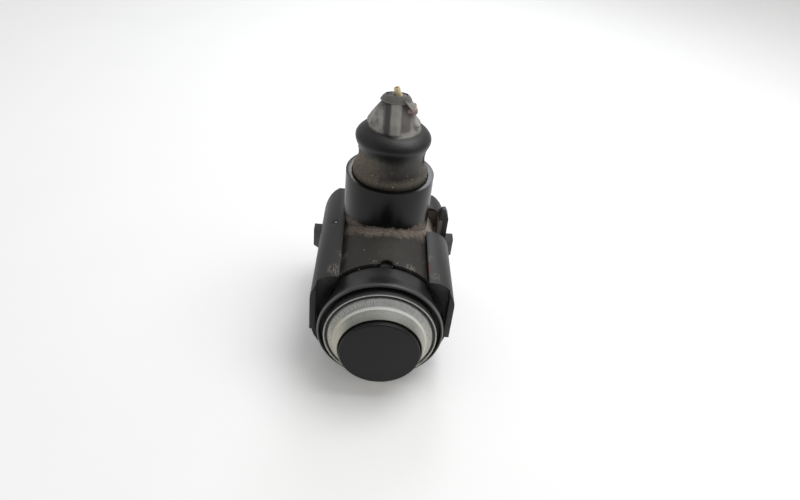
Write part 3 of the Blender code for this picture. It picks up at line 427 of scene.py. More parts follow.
def housing_finish():
    paint = Finish("charcoal_plastic", {"Specular IOR Level": 0.3})
    mottle = paint.grain(0.35, 4.0, 0.6)
    fine = paint.grain(9.0, 2.0)
    streaks = paint.grain(0.9, 4.0, 0.65)
    specks = paint.grain(2.8, 5.0, 0.7)
    settled, in_notch, from_wall, above = dust_places(paint, streaks, mottle, specks)

    # The arch is browner than the rails, with a greenish middle in front.
    collar = paint.fall(from_wall, 0.03, 0.2) * paint.step(above, 0.1, 0.5)
    arch = paint.fall(abs(paint.x), 8.6, 9.1) * paint.step(paint.z, 19.5, 22.5) * (1 - collar)
    paint.colour = paint.mix(arch * (0.5 + streaks * 0.8), CHARCOAL, ARCH_BROWN)
    paint.coat(paint.near((0.4, -4.6, 25.4), 4.4) * streaks, ARCH_GREEN)
    # The collar is painted nearly black as shade. Its left edge is painted brown, partly as dust and partly
    # as painted light.
    paint.coat(collar, SHADE_BLACK)
    paint.coat(collar * paint.step(-paint.x, 5.2, 8.6) * streaks * 0.7, ARCH_BROWN)

    # Dust lies in a ragged band. It is paler in the notch, and has dark and light grains.
    tone = paint.mix(paint.step(specks, 0.36, 0.58), DUST_SHADE, DUST)
    tone = paint.mix(in_notch * (0.5 + 0.5 * mottle), tone, NOTCH_DUST)
    ring = settled * paint.step(specks + settled * 0.5, 0.38, 0.80)
    thin = paint.step(1 - from_wall * 0.12, 0.2, 0.9) * arch * paint.step(specks, 0.52, 0.75)
    dust = paint.math('MAXIMUM', paint.math('MAXIMUM', ring, in_notch), thin * 0.35)
    paint.coat(dust * 0.92, tone)
    crumbs = paint.step(paint.grain(5.0), 0.60, 0.67)
    paint.coat(crumbs * (0.06 + 0.75 * settled) * arch, PALE_DUST)

    # Old scuffs near the front edge, a dimple in the left rail with painted shade and a painted
    # glint, and a reddish stain on the right.
    strokes = paint.grain(2.6, 4.0, 0.7, (1.0, 0.5, 1.0))
    thin_strokes = paint.band(strokes, 0.53, 0.56, 0.57, 0.60)
    for spot, reach in SCUFFS:
        paint.coat(paint.near(spot, reach) * thin_strokes * 0.9, PALE_DUST)
    # The keyway at the front of the arch is painted black as shade.
    paint.coat(paint.near(KEYWAY, 2.3), SHADE_BLACK)
    paint.coat(paint.near((14.4, -2.0, 16.1), 0.75, (1.6, 0.3, 0.7)) * 0.9, RED_STAIN)
    dent = paint.near(DIMPLE, 1.1)
    paint.coat(dent * 0.7, SHADE_BLACK)
    paint.coat(paint.near((DIMPLE[0] + 0.25, DIMPLE[1] + 0.1, DIMPLE[2]), 0.4), GLINT)

    # Rounded edges carry the mark edge and are rubbed. The mottling comes last.
    edge = paint.out("ShaderNodeAttribute", "Fac", {"attribute_name": "edge"})
    paint.coat(edge * paint.step(paint.grain(0.8), 0.34, 0.6) * 0.7, RUBBED)
    paint.coat(paint.math('MULTIPLY', mottle - 0.42, 0.8, clamp=True), DEEP_CHARCOAL)
    roughness = 0.40 + 0.12 * fine + 0.4 * dust + 0.1 * arch - 0.22 * collar
    relief = fine * 0.5 + dust * specks * 4 + crumbs * settled * 3 - dent * 5
    return paint.done(roughness, relief, 0.02)


charcoal_plastic = housing_finish()
print("finish:", charcoal_plastic.name)

# %% [markdown]
# ### Satin plastic, silicone and painted metal of the head
# The nose ring is smoother and blacker than the housing. The soft ring is cloudy silicone
# with grey handling marks. The membrane is a metal pot with a matt, slightly uneven paint.

# %% The head's finishes
def head_places(paint):
    """Depth behind the membrane, height above the head's axis and distance from it."""
    above_axis = paint.z - AXIS_HEIGHT / MM
    return paint.y + BODY_LENGTH / 2 / MM, above_axis, paint.length(paint.x, above_axis)


def nose_finish():
    paint = Finish("satin_black_plastic")
    cloud = paint.grain(0.5, 4.0)
    marks = paint.step(paint.grain(3.0, 3.0, 0.6, (1.0, 5.0, 1.0)), 0.64, 0.70)
    paint.colour = paint.mix(cloud, (0.0085, 0.0085, 0.009), (0.017, 0.017, 0.018))

    # The rim's outer edge has a painted highlight, and the groove inside it is painted dark as shade.
    depth, _, radius = head_places(paint)
    aside = paint.step(abs(paint.x), 6.5, 11.0)
    rim = paint.step(radius, 12.4, 12.65) * paint.fall(depth, 6.1, 6.8)
    rim_highlight_tone = paint.mix(aside, (0.075, 0.074, 0.072), (0.17, 0.168, 0.16))
    paint.coat(rim * (0.4 + 0.6 * cloud), rim_highlight_tone)
    groove_shade = paint.fall(radius, 12.2, 12.4) * paint.fall(depth, 7.4, 7.8)
    groove_shade_tone = paint.mix(aside, (0.0022, 0.0022, 0.0024), (0.040, 0.039, 0.037))
    paint.coat(groove_shade * 0.95, groove_shade_tone)
    paint.coat(marks * 0.2, (0.07, 0.068, 0.066))
    roughness = 0.33 + 0.12 * cloud + 0.1 * marks + 0.3 * groove_shade
    return paint.done(roughness, paint.grain(14.0, 2.0), 0.005)


SILICONE_GLOW = {
    "Subsurface Weight": 0.15,
    "Subsurface Radius": (1.0, 0.9, 0.7),
    "Subsurface Scale": 0.6 * MM,
}


def silicone_finish():
    paint = Finish("silicone", SILICONE_GLOW)
    cloud = paint.grain(0.45, 4.0, 0.6)
    smear = paint.grain(1.6, 5.0, 0.65)
    depth, above_axis, radius = head_places(paint)
    paint.colour = paint.mix(cloud, (0.50, 0.51, 0.49), (0.37, 0.375, 0.36))
    yellowed = paint.step(above_axis + (cloud - 0.5) * 8, 8.5, -2.0)
    paint.coat(yellowed * 0.7, (0.66, 0.63, 0.54))
    paint.coat(paint.step(smear, 0.48, 0.68) * 0.6, (0.22, 0.215, 0.19))

    # Inside the step it is darker. Painted highlights lie on the step and the bead, and painted
    # shade lies in the furrow and next to the cup.
    paint.coat(paint.fall(radius, 9.0, 9.15) * 0.75, (0.225, 0.222, 0.198))
    step_highlight = paint.band(radius, 8.95, 9.02, 9.3, 9.42)
    bead_highlight = paint.step(radius, 11.12, 11.2) * paint.fall(depth, 4.9, 5.2)
    paint.coat(step_highlight * 0.95 + bead_highlight * 0.3, (0.80, 0.80, 0.76))
    paint.coat(paint.fall(radius, 8.35, 8.85) * 0.6, (0.11, 0.11, 0.10))
    paint.coat(paint.band(radius, 10.45, 10.62, 11.0, 11.1) * 0.93, (0.026, 0.029, 0.031))

    # The sides have turned to cream, the left more than the right. The outside, in the nose
    # ring's groove, is painted dark as shade.
    beside = paint.step(abs(paint.x) - above_axis * 0.5, 2.5, 7.5)
    cream = beside * paint.fall(radius, 9.2, 9.9) * (0.5 + 0.7 * cloud)
    cream = cream * (1 - 0.55 * paint.step(paint.x, 2.0, 6.0))
    paint.coat(cream, (0.66, 0.63, 0.51))
    outside = paint.step(radius, 11.27, 11.35) * paint.step(depth, 4.70, 4.82)
    paint.coat(outside * 0.95, (0.012, 0.012, 0.012))
    return paint.done(0.36 + 0.25 * smear, paint.grain(12.0, 2.0) + smear, 0.006)


def membrane_finish():
    paint = Finish("black_painted_metal", {"Specular IOR Level": 0.3})
    cloud = paint.grain(0.25)
    paint.colour = paint.mix(cloud, (0.0058, 0.0058, 0.0062), (0.0098, 0.0096, 0.0096))
    # The side of the cup, behind its front edge, is painted darker as shade.
    paint.coat(paint.step(head_places(paint)[0], 0.25, 0.6), (0.0022, 0.0024, 0.0022))
    specks = paint.step(paint.grain(3.5, 2.0), 0.74, 0.78)
    paint.coat(specks * 0.25, (0.12, 0.11, 0.10))
    return paint.done(0.46 + 0.12 * cloud, paint.grain(5.0, 2.0), 0.004)


satin_black = nose_finish()
silicone = silicone_finish()
membrane_paint = membrane_finish()
print("finishes:", satin_black.name, silicone.name, membrane_paint.name)

# %% [markdown]
# ### The boot's rubber and the tape
# The boot is black rubber. Its bulge is handled and shines a little, its cone is rubbed grey
# on the webs, and its neck is covered in brown road dust that sits in the folds.

# %% The boot's finishes
RUBBER = (0.0042, 0.0043, 0.0040)
CONE_RUBBER = (0.062, 0.059, 0.054)
ROSY_RUBBER = (0.120, 0.103, 0.100)
RUBBED_RUBBER = (0.40, 0.38, 0.35)
RIB_GREY_AND_HIGHLIGHT = (0.26, 0.25, 0.225)
ROAD_DUST = (0.165, 0.142, 0.108)
PALE_ROAD_DUST = (0.23, 0.20, 0.155)
PIT_BLACK = (0.006, 0.005, 0.004)


def boot_finish():
    paint = Finish("boot_rubber")
    x = paint.x
    height = paint.z - COLLAR_RIM / MM
    cloud = paint.grain(0.5, 4.0, 0.6)
    streaks = paint.grain(1.2, 4.0, 0.6, (1.0, 1.0, 0.3))
    specks = paint.grain(3.2, 4.0, 0.65)

    # The neck: brown road dust, thick on the left, with a ring of it in the flare.
    neck = paint.fall(height + (cloud - 0.5) * 2.4, 4.9, 6.6)
    left = paint.fall(x + (streaks - 0.5) * 5, -4.6, 0.4)
    right = paint.step(x, 4.0, 7.5)
    flare = paint.fall(height + (streaks - 0.5) * 1.6, 1.2, 2.3)
    cover = paint.math('MAXIMUM', left, paint.math('MAXIMUM', right * 0.35, flare * 0.6))
    dusty = neck * (0.10 + 0.9 * cover) * (0.35 + 1.1 * specks)
    paint.colour = paint.mix(paint.math('MINIMUM', dusty, 1.0), RUBBER, ROAD_DUST)
    pale = paint.step(specks, 0.62, 0.70) * neck * (0.15 + 0.85 * cover)
    paint.coat(pale * 0.7, PALE_ROAD_DUST)
    pits = paint.step(paint.grain(2.2, 4.0, 0.7), 0.62, 0.68) * neck
    paint.coat(pits * 0.8, PIT_BLACK)

    # The cone: pale webs, a grey rib, a rosy stretch to its right and a dark one to its left.
    cone = paint.step(height + abs(x) * 0.05, 10.9, 11.5)
    paint.coat(cone, CONE_RUBBER)
    rosy = cone * paint.band(x, 1.0, 1.5, 2.6, 3.2)
    paint.coat(rosy * (0.5 + cloud), ROSY_RUBBER)
    webs = paint.math('MAXIMUM', paint.step(-x, 1.9, 2.9), paint.step(x, 2.7, 3.5))
    webs = webs * (0.4 + 0.6 * paint.fall(height, 14.0, 16.0))
    webs = cone * webs * (0.45 + 0.55 * paint.step(streaks, 0.3, 0.6))
    paint.coat(webs * 0.9, RUBBED_RUBBER)
    rib = cone * paint.band(x, -1.3, -0.9, 0.9, 1.35)
    paint.coat(rib * (0.45 + streaks * 0.9), RIB_GREY_AND_HIGHLIGHT)
    # A painted highlight lies along the shelf where the bulge meets the cone, right of the rib.
    shelf_highlight = paint.band(height, 10.55, 10.75, 11.2, 11.7) * paint.step(x, -1.2, 0.6)
    paint.coat(shelf_highlight * 0.7, RIB_GREY_AND_HIGHLIGHT)
    roughness = 0.38 + 0.14 * cloud + 0.4 * neck * cover + 0.14 * cone
    relief = paint.grain(9.0, 2.0) * 0.5 + specks * neck * 2 + streaks - pits * 2
    return paint.done(roughness, relief, 0.03)


def tape_finish():
    paint = Finish("tape")
    weave = paint.grain(4.0, 3.0, 0.6, (1.0, 1.0, 4.0))
    paint.colour = paint.mix(paint.grain(0.9, 4.0), (0.10, 0.096, 0.088), (0.22, 0.21, 0.195))
    paint.coat(paint.fall(paint.z - COLLAR_RIM / MM, 16.35, 16.5) * 0.6, (0.32, 0.30, 0.28))
    paint.coat(weave * 0.35, (0.20, 0.185, 0.175))
    return paint.done(0.40 + 0.2 * weave, weave, 0.02)


boot_rubber = boot_finish()
tape = tape_finish()
print("finishes:", boot_rubber.name, tape.name)

# %% [markdown]
# ### Finishes of the pieces inside
# The plug, the board and the potting are hidden, yet they show when the part is taken
# apart. They differ in colour, shine and the size of their grain, so one function with those
# few values makes them all. The road dust and the strokes on the silicone are made so too.

# %% The other finishes
def plain_finish(name, dark, light, roughness, per_mm, metallic=0.0, depth=0.01):
    paint = Finish(name, {"Metallic": metallic})
    fine = paint.grain(per_mm)
    paint.colour = paint.mix(paint.grain(per_mm / 8) * 0.7 + fine * 0.3, dark, light)
    return paint.done(roughness + 0.12 * fine - 0.06, fine, depth)


# Dark and light tone, roughness, grains per millimetre and, if need be, metal and depth.
PLAIN_FINISHES = {
    "grey_plastic": ((0.17, 0.17, 0.17), (0.23, 0.23, 0.22), 0.5, 8),
    "foam": ((0.46, 0.43, 0.34), (0.56, 0.53, 0.45), 0.9, 5, 0.0, 0.1),
    "felt": ((0.24, 0.24, 0.24), (0.36, 0.35, 0.34), 0.95, 7, 0.0, 0.08),
    "piezo_ceramic": ((0.52, 0.46, 0.33), (0.64, 0.59, 0.46), 0.4, 12),
    "board_laminate": ((0.012, 0.095, 0.04), (0.02, 0.13, 0.06), 0.35, 6),
    "black_epoxy": ((0.016, 0.016, 0.016), (0.03, 0.03, 0.03), 0.45, 12),
    "ferrite": ((0.05, 0.05, 0.052), (0.085, 0.085, 0.085), 0.6, 10),
    "copper": ((0.62, 0.28, 0.14), (0.76, 0.40, 0.24), 0.3, 6, 1.0),
    "tinned_metal": ((0.52, 0.52, 0.5), (0.66, 0.66, 0.64), 0.32, 6, 1.0),
    "casting_compound": ((0.03, 0.03, 0.03), (0.06, 0.06, 0.06), 0.4, 1.5),
    "yellow_insulation": ((0.60, 0.47, 0.20), (0.86, 0.80, 0.58), 0.55, 5),
    "red_insulation": ((0.40, 0.22, 0.20), (0.56, 0.42, 0.38), 0.55, 5),
    "brown_insulation": ((0.26, 0.17, 0.15), (0.40, 0.30, 0.27), 0.55, 5),
    "road_dust": ((0.20, 0.17, 0.14), (0.62, 0.56, 0.47), 0.85, 3),
    "pale_silicone": ((0.58, 0.58, 0.55), (0.70, 0.70, 0.67), 0.4, 4),
}
FINISHES = {
    "charcoal_plastic": charcoal_plastic,
    "satin_black_plastic": satin_black,
    "silicone": silicone,
    "black_painted_metal": membrane_paint,
    "boot_rubber": boot_rubber,
    "tape": tape,
}
for name, values in PLAIN_FINISHES.items():
    FINISHES[name] = plain_finish(name, *values)
for part in frame["record"]["subparts"]:
    node = frame["nodes"][part["node"]]
    node.data.materials.clear()
    node.data.materials.append(FINISHES[part["material_slot"]])

# %% [markdown]
# ## The housing
# The CAD solid has the right shape, but sharp edges. A copy of it gets small radii along
# every edge, as the mould had. The faces of those radii are marked, because that is where
# the plastic is rubbed, and the finish reads the mark.

# %% Soften the edges of a CAD solid
MERGE_DISTANCE = 0.002 * MM


def softened(node, name, width, angle, material):
    """A copy of a CAD node with rounded edges. The new faces carry the mark edge."""
    shape = bmesh.new()
    shape.from_mesh(frame["nodes"][node].data)
    bmesh.ops.remove_doubles(shape, verts=shape.verts, dist=MERGE_DISTANCE)
    flat = math.radians(0.5)
    bmesh.ops.dissolve_limit(shape, angle_limit=flat, verts=shape.verts, edges=shape.edges)
    least = math.radians(angle)
    sharp = [edge for edge in shape.edges if edge.is_manifold and edge.calc_face_angle() > least]
    mark = shape.faces.layers.float.new("edge")
    result = bmesh.ops.bevel(
        shape, geom=sharp, offset=width, segments=3, affect='EDGES', profile=0.5,
        clamp_overlap=True, harden_normals=False, miter_outer='ARC',
    )
    for face in result["faces"]:
        if face.is_valid:
            face[mark] = 1.0
    bmesh.ops.triangulate(shape, faces=[face for face in shape.faces if len(face.verts) > 4])
    print(name, "edges rounded:", len(sharp))
    return to_object(shape, name, material, 30)


housing_shell = softened("housing", "housing_shell", 0.16 * MM, 25, charcoal_plastic)
settle(housing_shell, "charcoal_plastic", "housing")

# %% [markdown]
# ## The nose ring, the silicone ring and the membrane
# These are lathe work. The nose ring has a soft rim and a hollow waist, and its neck is cut
# away at the sides, so that the cheeks of the housing can flex. The silicone ring is a cone
# with a step and a raised bead along its outer edge.

# %% Turn the head
NOSE_RIM = 12.8
NOSE_NECK = 12.2
NOSE_BORE = 11.6
NECK_CORE = 11.2 * MM
NECK_CORE_LENGTH = 14 * MM

# Rim, hollow waist, step to the spigot and the bore that holds the silicone.
NOSE_PROFILE = [
    (NOSE_BORE, 7.1, 0.1), (12.1, 7.0, 0.2), (12.25, 5.85, 0.25), (12.5, 5.8, 0.25),
    (NOSE_RIM, 6.15, 0.3), (NOSE_RIM - 0.04, 6.8, 0.5), (NOSE_NECK + 0.08, 8.7, 1.2),
    (NOSE_NECK, 9.6, 0.9), (NOSE_NECK, 12.0, 0.2), (11.0, 12.0, 0), (11.0, 15.9, 0),
    (9.8, 15.9, 0), (9.8, 10.2, 0), (10.5, 10.2, 0), (10.5, 7.15, 0), (NOSE_BORE, 7.15, 0),
]


def side_cutter(side):
    """The tool that cuts one side of the neck away, behind the rim."""
    front = depth_to_y(7.9 * MM)
    rear = depth_to_y(13.0 * MM)
    fillet = 3.4 * MM
    low = AXIS_HEIGHT - 7.8 * MM
    high = AXIS_HEIGHT + 7.8 * MM
    outline = []
    for centre_z, start in ((low + fillet, 270), (high - fillet, 180)):
        for step in range(13):
            angle = math.radians(start - 90 * step / 12)
            outline.append((front + fillet + fillet * math.cos(angle), centre_z + fillet * math.sin(angle)))
    outline += [(rear, high), (rear, low)]
    shape = bmesh.new()
    near = [shape.verts.new((side * 9.0 * MM, y, z)) for y, z in outline]
    far = [shape.verts.new((side * 13.8 * MM, y, z)) for y, z in outline]
    shape.faces.new(near)
    shape.faces.new(far)
    for step in range(len(outline)):
        after = (step + 1) % len(outline)
        shape.faces.new((near[step], near[after], far[after], far[step]))
    bmesh.ops.recalc_face_normals(shape, faces=shape.faces)
    return to_object(shape, "side_cutter")


def cut(body, tool):
    """Takes a tool's volume out of a body and takes the tool away."""
    step = body.modifiers.new("cut", 'BOOLEAN')
    step.operation = 'DIFFERENCE'
    step.object = tool
    step.solver = 'EXACT'
    plain_mesh(body)
    data = tool.data
    bpy.data.objects.remove(tool)
    bpy.data.meshes.remove(data)


def make_nose():
    core = [(0, 0), (NECK_CORE, 0), (NECK_CORE, NECK_CORE_LENGTH), (0, NECK_CORE_LENGTH)]
    profile = soft_profile(NOSE_PROFILE, 5)
    nose = to_object(turned(profile, place_on_nose), "nose_ring_turned", satin_black)
    for side in (-1, 1):
        tool = side_cutter(side)
        cut(tool, to_object(turned(core, place_on_nose), "core"))
        cut(nose, tool)
    nose.data.set_sharp_from_angle(angle=math.radians(30))
    return nose


nose = make_nose()
settle(nose, "satin_black_plastic", "nose_ring")

# %% The silicone ring and the cup
CUP_RADIUS = 8.0
CUP_BORE = CUP_RADIUS - 1.0
RING_BORE = CUP_RADIUS + 0.2
RING_PROFILE = [
    (RING_BORE, 1.15, 0.05), (RING_BORE + 0.25, 1.0, 0.15), (8.95, 3.1, 0.5), (9.0, 3.35, 0.12),
    (9.2, 3.55, 0.15), (10.45, 4.45, 0.3), (10.6, 5.2, 0.2), (11.0, 5.2, 0.2), (11.12, 4.66, 0.14),
    (11.38, 4.72, 0.2), (11.4, 5.3, 0.2), (11.4, 6.9, 0), (10.3, 6.9, 0), (10.3, 10.0, 0),
    (RING_BORE, 10.0, 0),
]
CUP_PROFILE = [
    (0, 0, 0), (CUP_RADIUS - 0.05, 0, 0.35), (CUP_RADIUS, 1.2, 0.3), (CUP_RADIUS, 9.0, 0.1),
    (CUP_BORE, 9.0, 0.1), (CUP_BORE, 0.8, 0), (0, 0.8, 0),
]

ring_shape = turned(soft_profile(RING_PROFILE, 5), place_on_nose)
cup_shape = turned(soft_profile(CUP_PROFILE, 6), place_on_nose)
soft_ring = to_object(ring_shape, "silicone_ring", silicone, 60)
cup = to_object(cup_shape, "membrane", membrane_paint)
settle(soft_ring, "silicone", "decoupling_ring")
settle(cup, "black_painted_metal", "membrane_cup")

# %% [markdown]
# ## The rubber boot
# The boot follows a rule, so its form is made with Geometry Nodes. A turned shell gives the
# neck, the bulge and the cone. The tree then looks at each point's angle and height: two
# flat webs brace the cone, a rib runs up its front and back, the stretches between them sink
# in, and the cap is pressed flat. A slot on the right lets the rubber lock.

# %% The shell of the boot
BOOT_STEPS = 240
BOOT_HEIGHTS = [
    (8.1, -2.8), (8.1, -0.1), (8.12, 0.5), (8.05, 1.0), (7.8, 1.5), (7.42, 2.2), (7.15, 3.0), (7.02, 4.0),
    (7.02, 4.9), (7.15, 5.8), (7.45, 6.8), (7.8, 7.6), (7.95, 8.3), (7.8, 8.9), (7.4, 9.45),
    (6.85, 9.95), (6.3, 10.3), (5.85, 10.52), (5.5, 10.66), (5.3, 10.85), (5.15, 11.15),
    (4.9, 11.7), (4.6, 12.3), (4.3, 12.9), (3.95, 13.5), (3.6, 14.2), (3.25, 14.95),
    (2.9, 15.7), (2.6, 16.2), (2.35, 16.8), (2.0, 17.45), (1.75, 17.6), (1.4, 17.55),
]
BOOT_BORE = [
    (0.86, 17.2), (0.86, 16.0), (2.3, 12.9), (4.1, 10.5), (5.6, 9.8), (6.5, 8.5), (6.1, 7.2),
    (5.75, 6.0), (5.7, 4.8), (6.2, 3.2), (6.5, 1.6), (6.6, 0.0), (6.6, -2.8),
]


def rounded_line(points, steps):
    """A smooth curve through the given points."""
    line = []
    last = len(points) - 1
    for index in range(last):
        before, start = Vector(points[max(index - 1, 0)]), Vector(points[index])
        end, after = Vector(points[index + 1]), Vector(points[min(index + 2, last)])
        for step in range(steps):
            t = step / steps
            curve = 2 * start + (end - before) * t
            curve += (2 * before - 5 * start + 4 * end - after) * t * t
            curve += (3 * start - before - 3 * end + after) * t ** 3
            line.append(curve / 2)
    line.append(Vector(points[last]))
    return line


def make_boot_shell():
    outside = [(p.x * MM, COLLAR_RIM + p.y * MM) for p in rounded_line(BOOT_HEIGHTS, 4)]
    inside = [(radius * MM, COLLAR_RIM + height * MM) for radius, height in BOOT_BORE]
    shape = turned(outside + inside, place_on_collar, BOOT_STEPS)
    layer = shape.verts.layers.float.new("outside")
    count = len(outside) * BOOT_STEPS
    shape.verts.ensure_lookup_table()
    for index in range(count):
        shape.verts[index][layer] = 1.0
    return to_object(shape, "boot_moulding", boot_rubber, 50)


boot = make_boot_shell()
print("boot shell:", len(boot.data.polygons), "faces")

# %% Webs, rib, hollows and the pressed cap
def new_tree(name, sizes):
    """A Geometry Nodes tree with named sizes. Returns its graph and the sizes' sockets."""
    tree = bpy.data.node_groups.new(name, 'GeometryNodeTree')
    tree.interface.new_socket("Geometry", in_out='INPUT', socket_type='NodeSocketGeometry')
    tree.interface.new_socket("Geometry", in_out='OUTPUT', socket_type='NodeSocketGeometry')
    graph = Graph(tree)
    for label, value in sizes.items():
        kind = 'NodeSocketInt' if isinstance(value, int) else 'NodeSocketFloat'
        socket = tree.interface.new_socket(label, in_out='INPUT', socket_type=kind)
        socket.default_value = value
    group = graph.add("NodeGroupInput")
    return graph, {socket.name: Value(graph, socket) for socket in group.outputs if socket.name}


def end_tree(graph, geometry, material):
    """Ends a tree in Realize Instances and Set Material."""
    real = graph.out("GeometryNodeRealizeInstances", 0, None, {0: geometry})
    painted = graph.add("GeometryNodeSetMaterial", None, {"Geometry": real})
    painted.inputs["Material"].default_value = material
    end = graph.add("NodeGroupOutput")
    graph.tree.links.new(painted.outputs[0], end.inputs[0])
    return graph.tree


def run_tree(thing, tree, sizes):
    """Runs a tree on a piece and keeps the result as its plain mesh."""
    step = thing.modifiers.new(tree.name, 'NODES')
    step.node_group = tree
    for item in tree.interface.items_tree:
        if item.in_out == 'INPUT' and item.name in sizes:
            step[item.identifier] = sizes[item.name]
    plain_mesh(thing)
    return thing


BOOT_SIZES = {
    "Collar Y": COLLAR_Y,
    "Rim Height": COLLAR_RIM,
    "Web Half Thickness": 1.5 * MM,
    "Web Blend": 0.8 * MM,
    "Rib Rise": 0.4 * MM,
    "Rib Half Width": 1.3 * MM,
    "Hollow Depth": 0.3 * MM,
    "Cap Flatness": 0.5,
    "Slot Depth": 1.2 * MM,
    "Unevenness": 0.12 * MM,
    "Lean": 0.35 * MM,
}
SLOT_ANGLE = 0.30
BOOT_NOISE = 240.0


def boot_tree():
    graph, size = new_tree("boot_form", BOOT_SIZES)
    place = graph.out("GeometryNodeInputPosition", 0)
    x, y, z = graph.split(place)
    y = y - size["Collar Y"]
    height = (z - size["Rim Height"]) / MM
    radius = graph.length(x, y)
    sine = abs(y / radius)
    on_cone = graph.band(height, 10.7, 11.3, 15.9, 16.35)
    spread = graph.math('MINIMUM', graph.math('MAXIMUM', 12.6 - height, 0.0), 1.0)
    outline = (5.1 - graph.math('MAXIMUM', height - 12.4, 0.0) * 0.62 + spread * spread * 0.9) * MM
    foot = graph.fall(height, 11.4, 14.5)
    flat = size["Web Half Thickness"] * (1 + foot * 0.6) / graph.math('MAXIMUM', sine, 0.02)
    web = graph.math('SMOOTH_MIN', outline, flat, 0.25 * MM) * on_cone * graph.step(height, 11.1, 11.9)

    # The rib and the hollows are told by how far a point is from the front or the back.
    beside = abs(x)
    facing = graph.step(sine, 0.25, 0.6) * on_cone
    rib = graph.fall(beside, size["Rib Half Width"] * 0.45, size["Rib Half Width"]) * facing
    hollow = graph.step(beside, size["Rib Half Width"] * 0.8, size["Rib Half Width"] * 1.5) * facing
    grown = radius + rib * size["Rib Rise"] - hollow * size["Hollow Depth"]
    grown = graph.math('SMOOTH_MAX', grown, web, size["Web Blend"])

    # A slot in the neck, low on the right.
    angle = graph.math('ARCTAN2', y, x)
    in_slot = graph.fall(abs(angle + SLOT_ANGLE), 0.07, 0.12)
    in_slot = in_slot * graph.step(height, 3.2, 3.6) * graph.fall(height, 5.8, 6.3)
    grown = grown - in_slot * size["Slot Depth"]

    # Old rubber is never quite round.
    sockets = {"Vector": place, "Scale": BOOT_NOISE, "Detail": 1.0}
    uneven = graph.out("ShaderNodeTexNoise", 0, None, sockets) - 0.5
    grown = grown + uneven * size["Unevenness"] * graph.step(height, 0.6, 2.0)

    mark = graph.out("GeometryNodeInputNamedAttribute", 0, {"data_type": 'FLOAT'}, {"Name": "outside"})
    scale = 1 + (grown / radius - 1) * mark
    pressed = 1 - (1 - size["Cap Flatness"]) * graph.step(height, 12.5, 17.6)
    lean = size["Lean"] * (graph.step(height, 10.0, 13.0) - 0.7 * graph.step(height, 14.0, 17.0))
    new_place = graph.join(x * scale - lean, y * scale * pressed + size["Collar Y"], z)
    sockets = {"Geometry": size["Geometry"], "Position": new_place}
    geometry = graph.out("GeometryNodeSetPosition", 0, None, sockets)
    return end_tree(graph, geometry, boot_rubber)


run_tree(boot, boot_tree(), BOOT_SIZES)
settle(boot, "boot_rubber", "boot")

# %% [markdown]
# ## The tape and the cut wires
# A strip of cloth tape is wound round the boot's cap, and its loose end hangs over the side
# wires on the right. Three wires leave the boot and were cut off short: a yellow one at the
# top, a red and a brown one through the sleeve on the right. Each shows its cut strands.

# %% Wind the tape
TAPE_TURNS = 1.85
TAPE_STEPS = 220
TAPE_ROWS = 9
TAPE_THICKNESS = 0.14 * MM
TAPE_END_ANGLE = math.pi * 0.98
TAPE_LEAN = 0.3 * BOOT_SIZES["Lean"]
LIFT_START = 0.955
FLAP_LINE = [(1.6, 17.15), (2.2, 16.8), (2.9, 16.25), (3.6, 15.65), (4.05, 15.2)]
FLAP_CURVE = rounded_line(FLAP_LINE, 6)


def close_sheets(inner, outer, shape):
    """Joins two grids of points, the under and the upper side, into one closed sheet."""
    for sheet in (inner, outer):
        for first, second in zip(sheet, sheet[1:]):
            for index in range(len(first) - 1):
                shape.faces.new((first[index], second[index], second[index + 1], first[index + 1]))
    for index in (0, -1):
        for step in range(len(inner) - 1):
            corners = (inner[step], inner[step + 1], outer[step + 1], outer[step])
            shape.faces.new([row[index] for row in corners])
    for step in (0, -1):
        for index in range(len(inner[0]) - 1):
            first, second = inner[step], outer[step]
            shape.faces.new((first[index], first[index + 1], second[index + 1], second[index]))
    bmesh.ops.recalc_face_normals(shape, faces=shape.faces)


def tape_sheet(name, steps, place):
    """A strip with thickness. Its points are placed by their shares along and up the tape."""
    shape = bmesh.new()
    ups = [index / (TAPE_ROWS - 1) for index in range(TAPE_ROWS)]
    sheets = []
    for thickness in (0.0, TAPE_THICKNESS):
        rows = []
        for step in range(steps + 1):
            rows.append([shape.verts.new(place(step / steps, up, thickness)) for up in ups])
        sheets.append(rows)
    close_sheets(sheets[0], sheets[1], shape)
    settle(to_object(shape, name, tape, 50), "tape", *TAPE_REPLACES[name])


def place_on_band(share, up, thickness):
    """Round the flat cap. The lower lip of the last stretch lifts off it."""
    angle = TAPE_END_ANGLE - 2 * math.pi * TAPE_TURNS * (1 - share)
    lift = max(share - LIFT_START, 0) / (1 - LIFT_START)
    height = COLLAR_RIM + (16.3 + 1.4 * up - 0.12 * share) * MM
    wander = noise.noise(Vector((angle, up * 2.0, 3.0))) * 0.05 * MM
    radius = (2.92 - 0.72 * up ** 2) * MM + share * 0.17 * MM + thickness + wander
    radius += lift ** 2 * 0.15 * (1 - up) ** 2 * MM
    point = Vector(place_on_collar(radius, angle, height))
    point.y = COLLAR_Y + (point.y - COLLAR_Y) * (0.56 - 0.05 * up)
    point.x -= TAPE_LEAN
    return point


def place_on_flap(share, up, thickness):
    """Outwards from the cap and down over the wires, with drooping sides."""
    point = FLAP_CURVE[round(share * (len(FLAP_CURVE) - 1))]
    side = 2 * up - 1
    half_width = 1.85 - 0.3 * share
    wander = noise.noise(Vector((share * 3, side * 1.5, 7.0))) * 0.12
    droop = (0.15 + 0.45 * share) * side ** 2
    droop += (0.2 + 0.6 * share) * max(-side, 0) ** 2
    spot = Vector((point.x, side * half_width, point.y - droop + wander))
    return Vector((0, COLLAR_Y, COLLAR_RIM + thickness)) + spot * MM


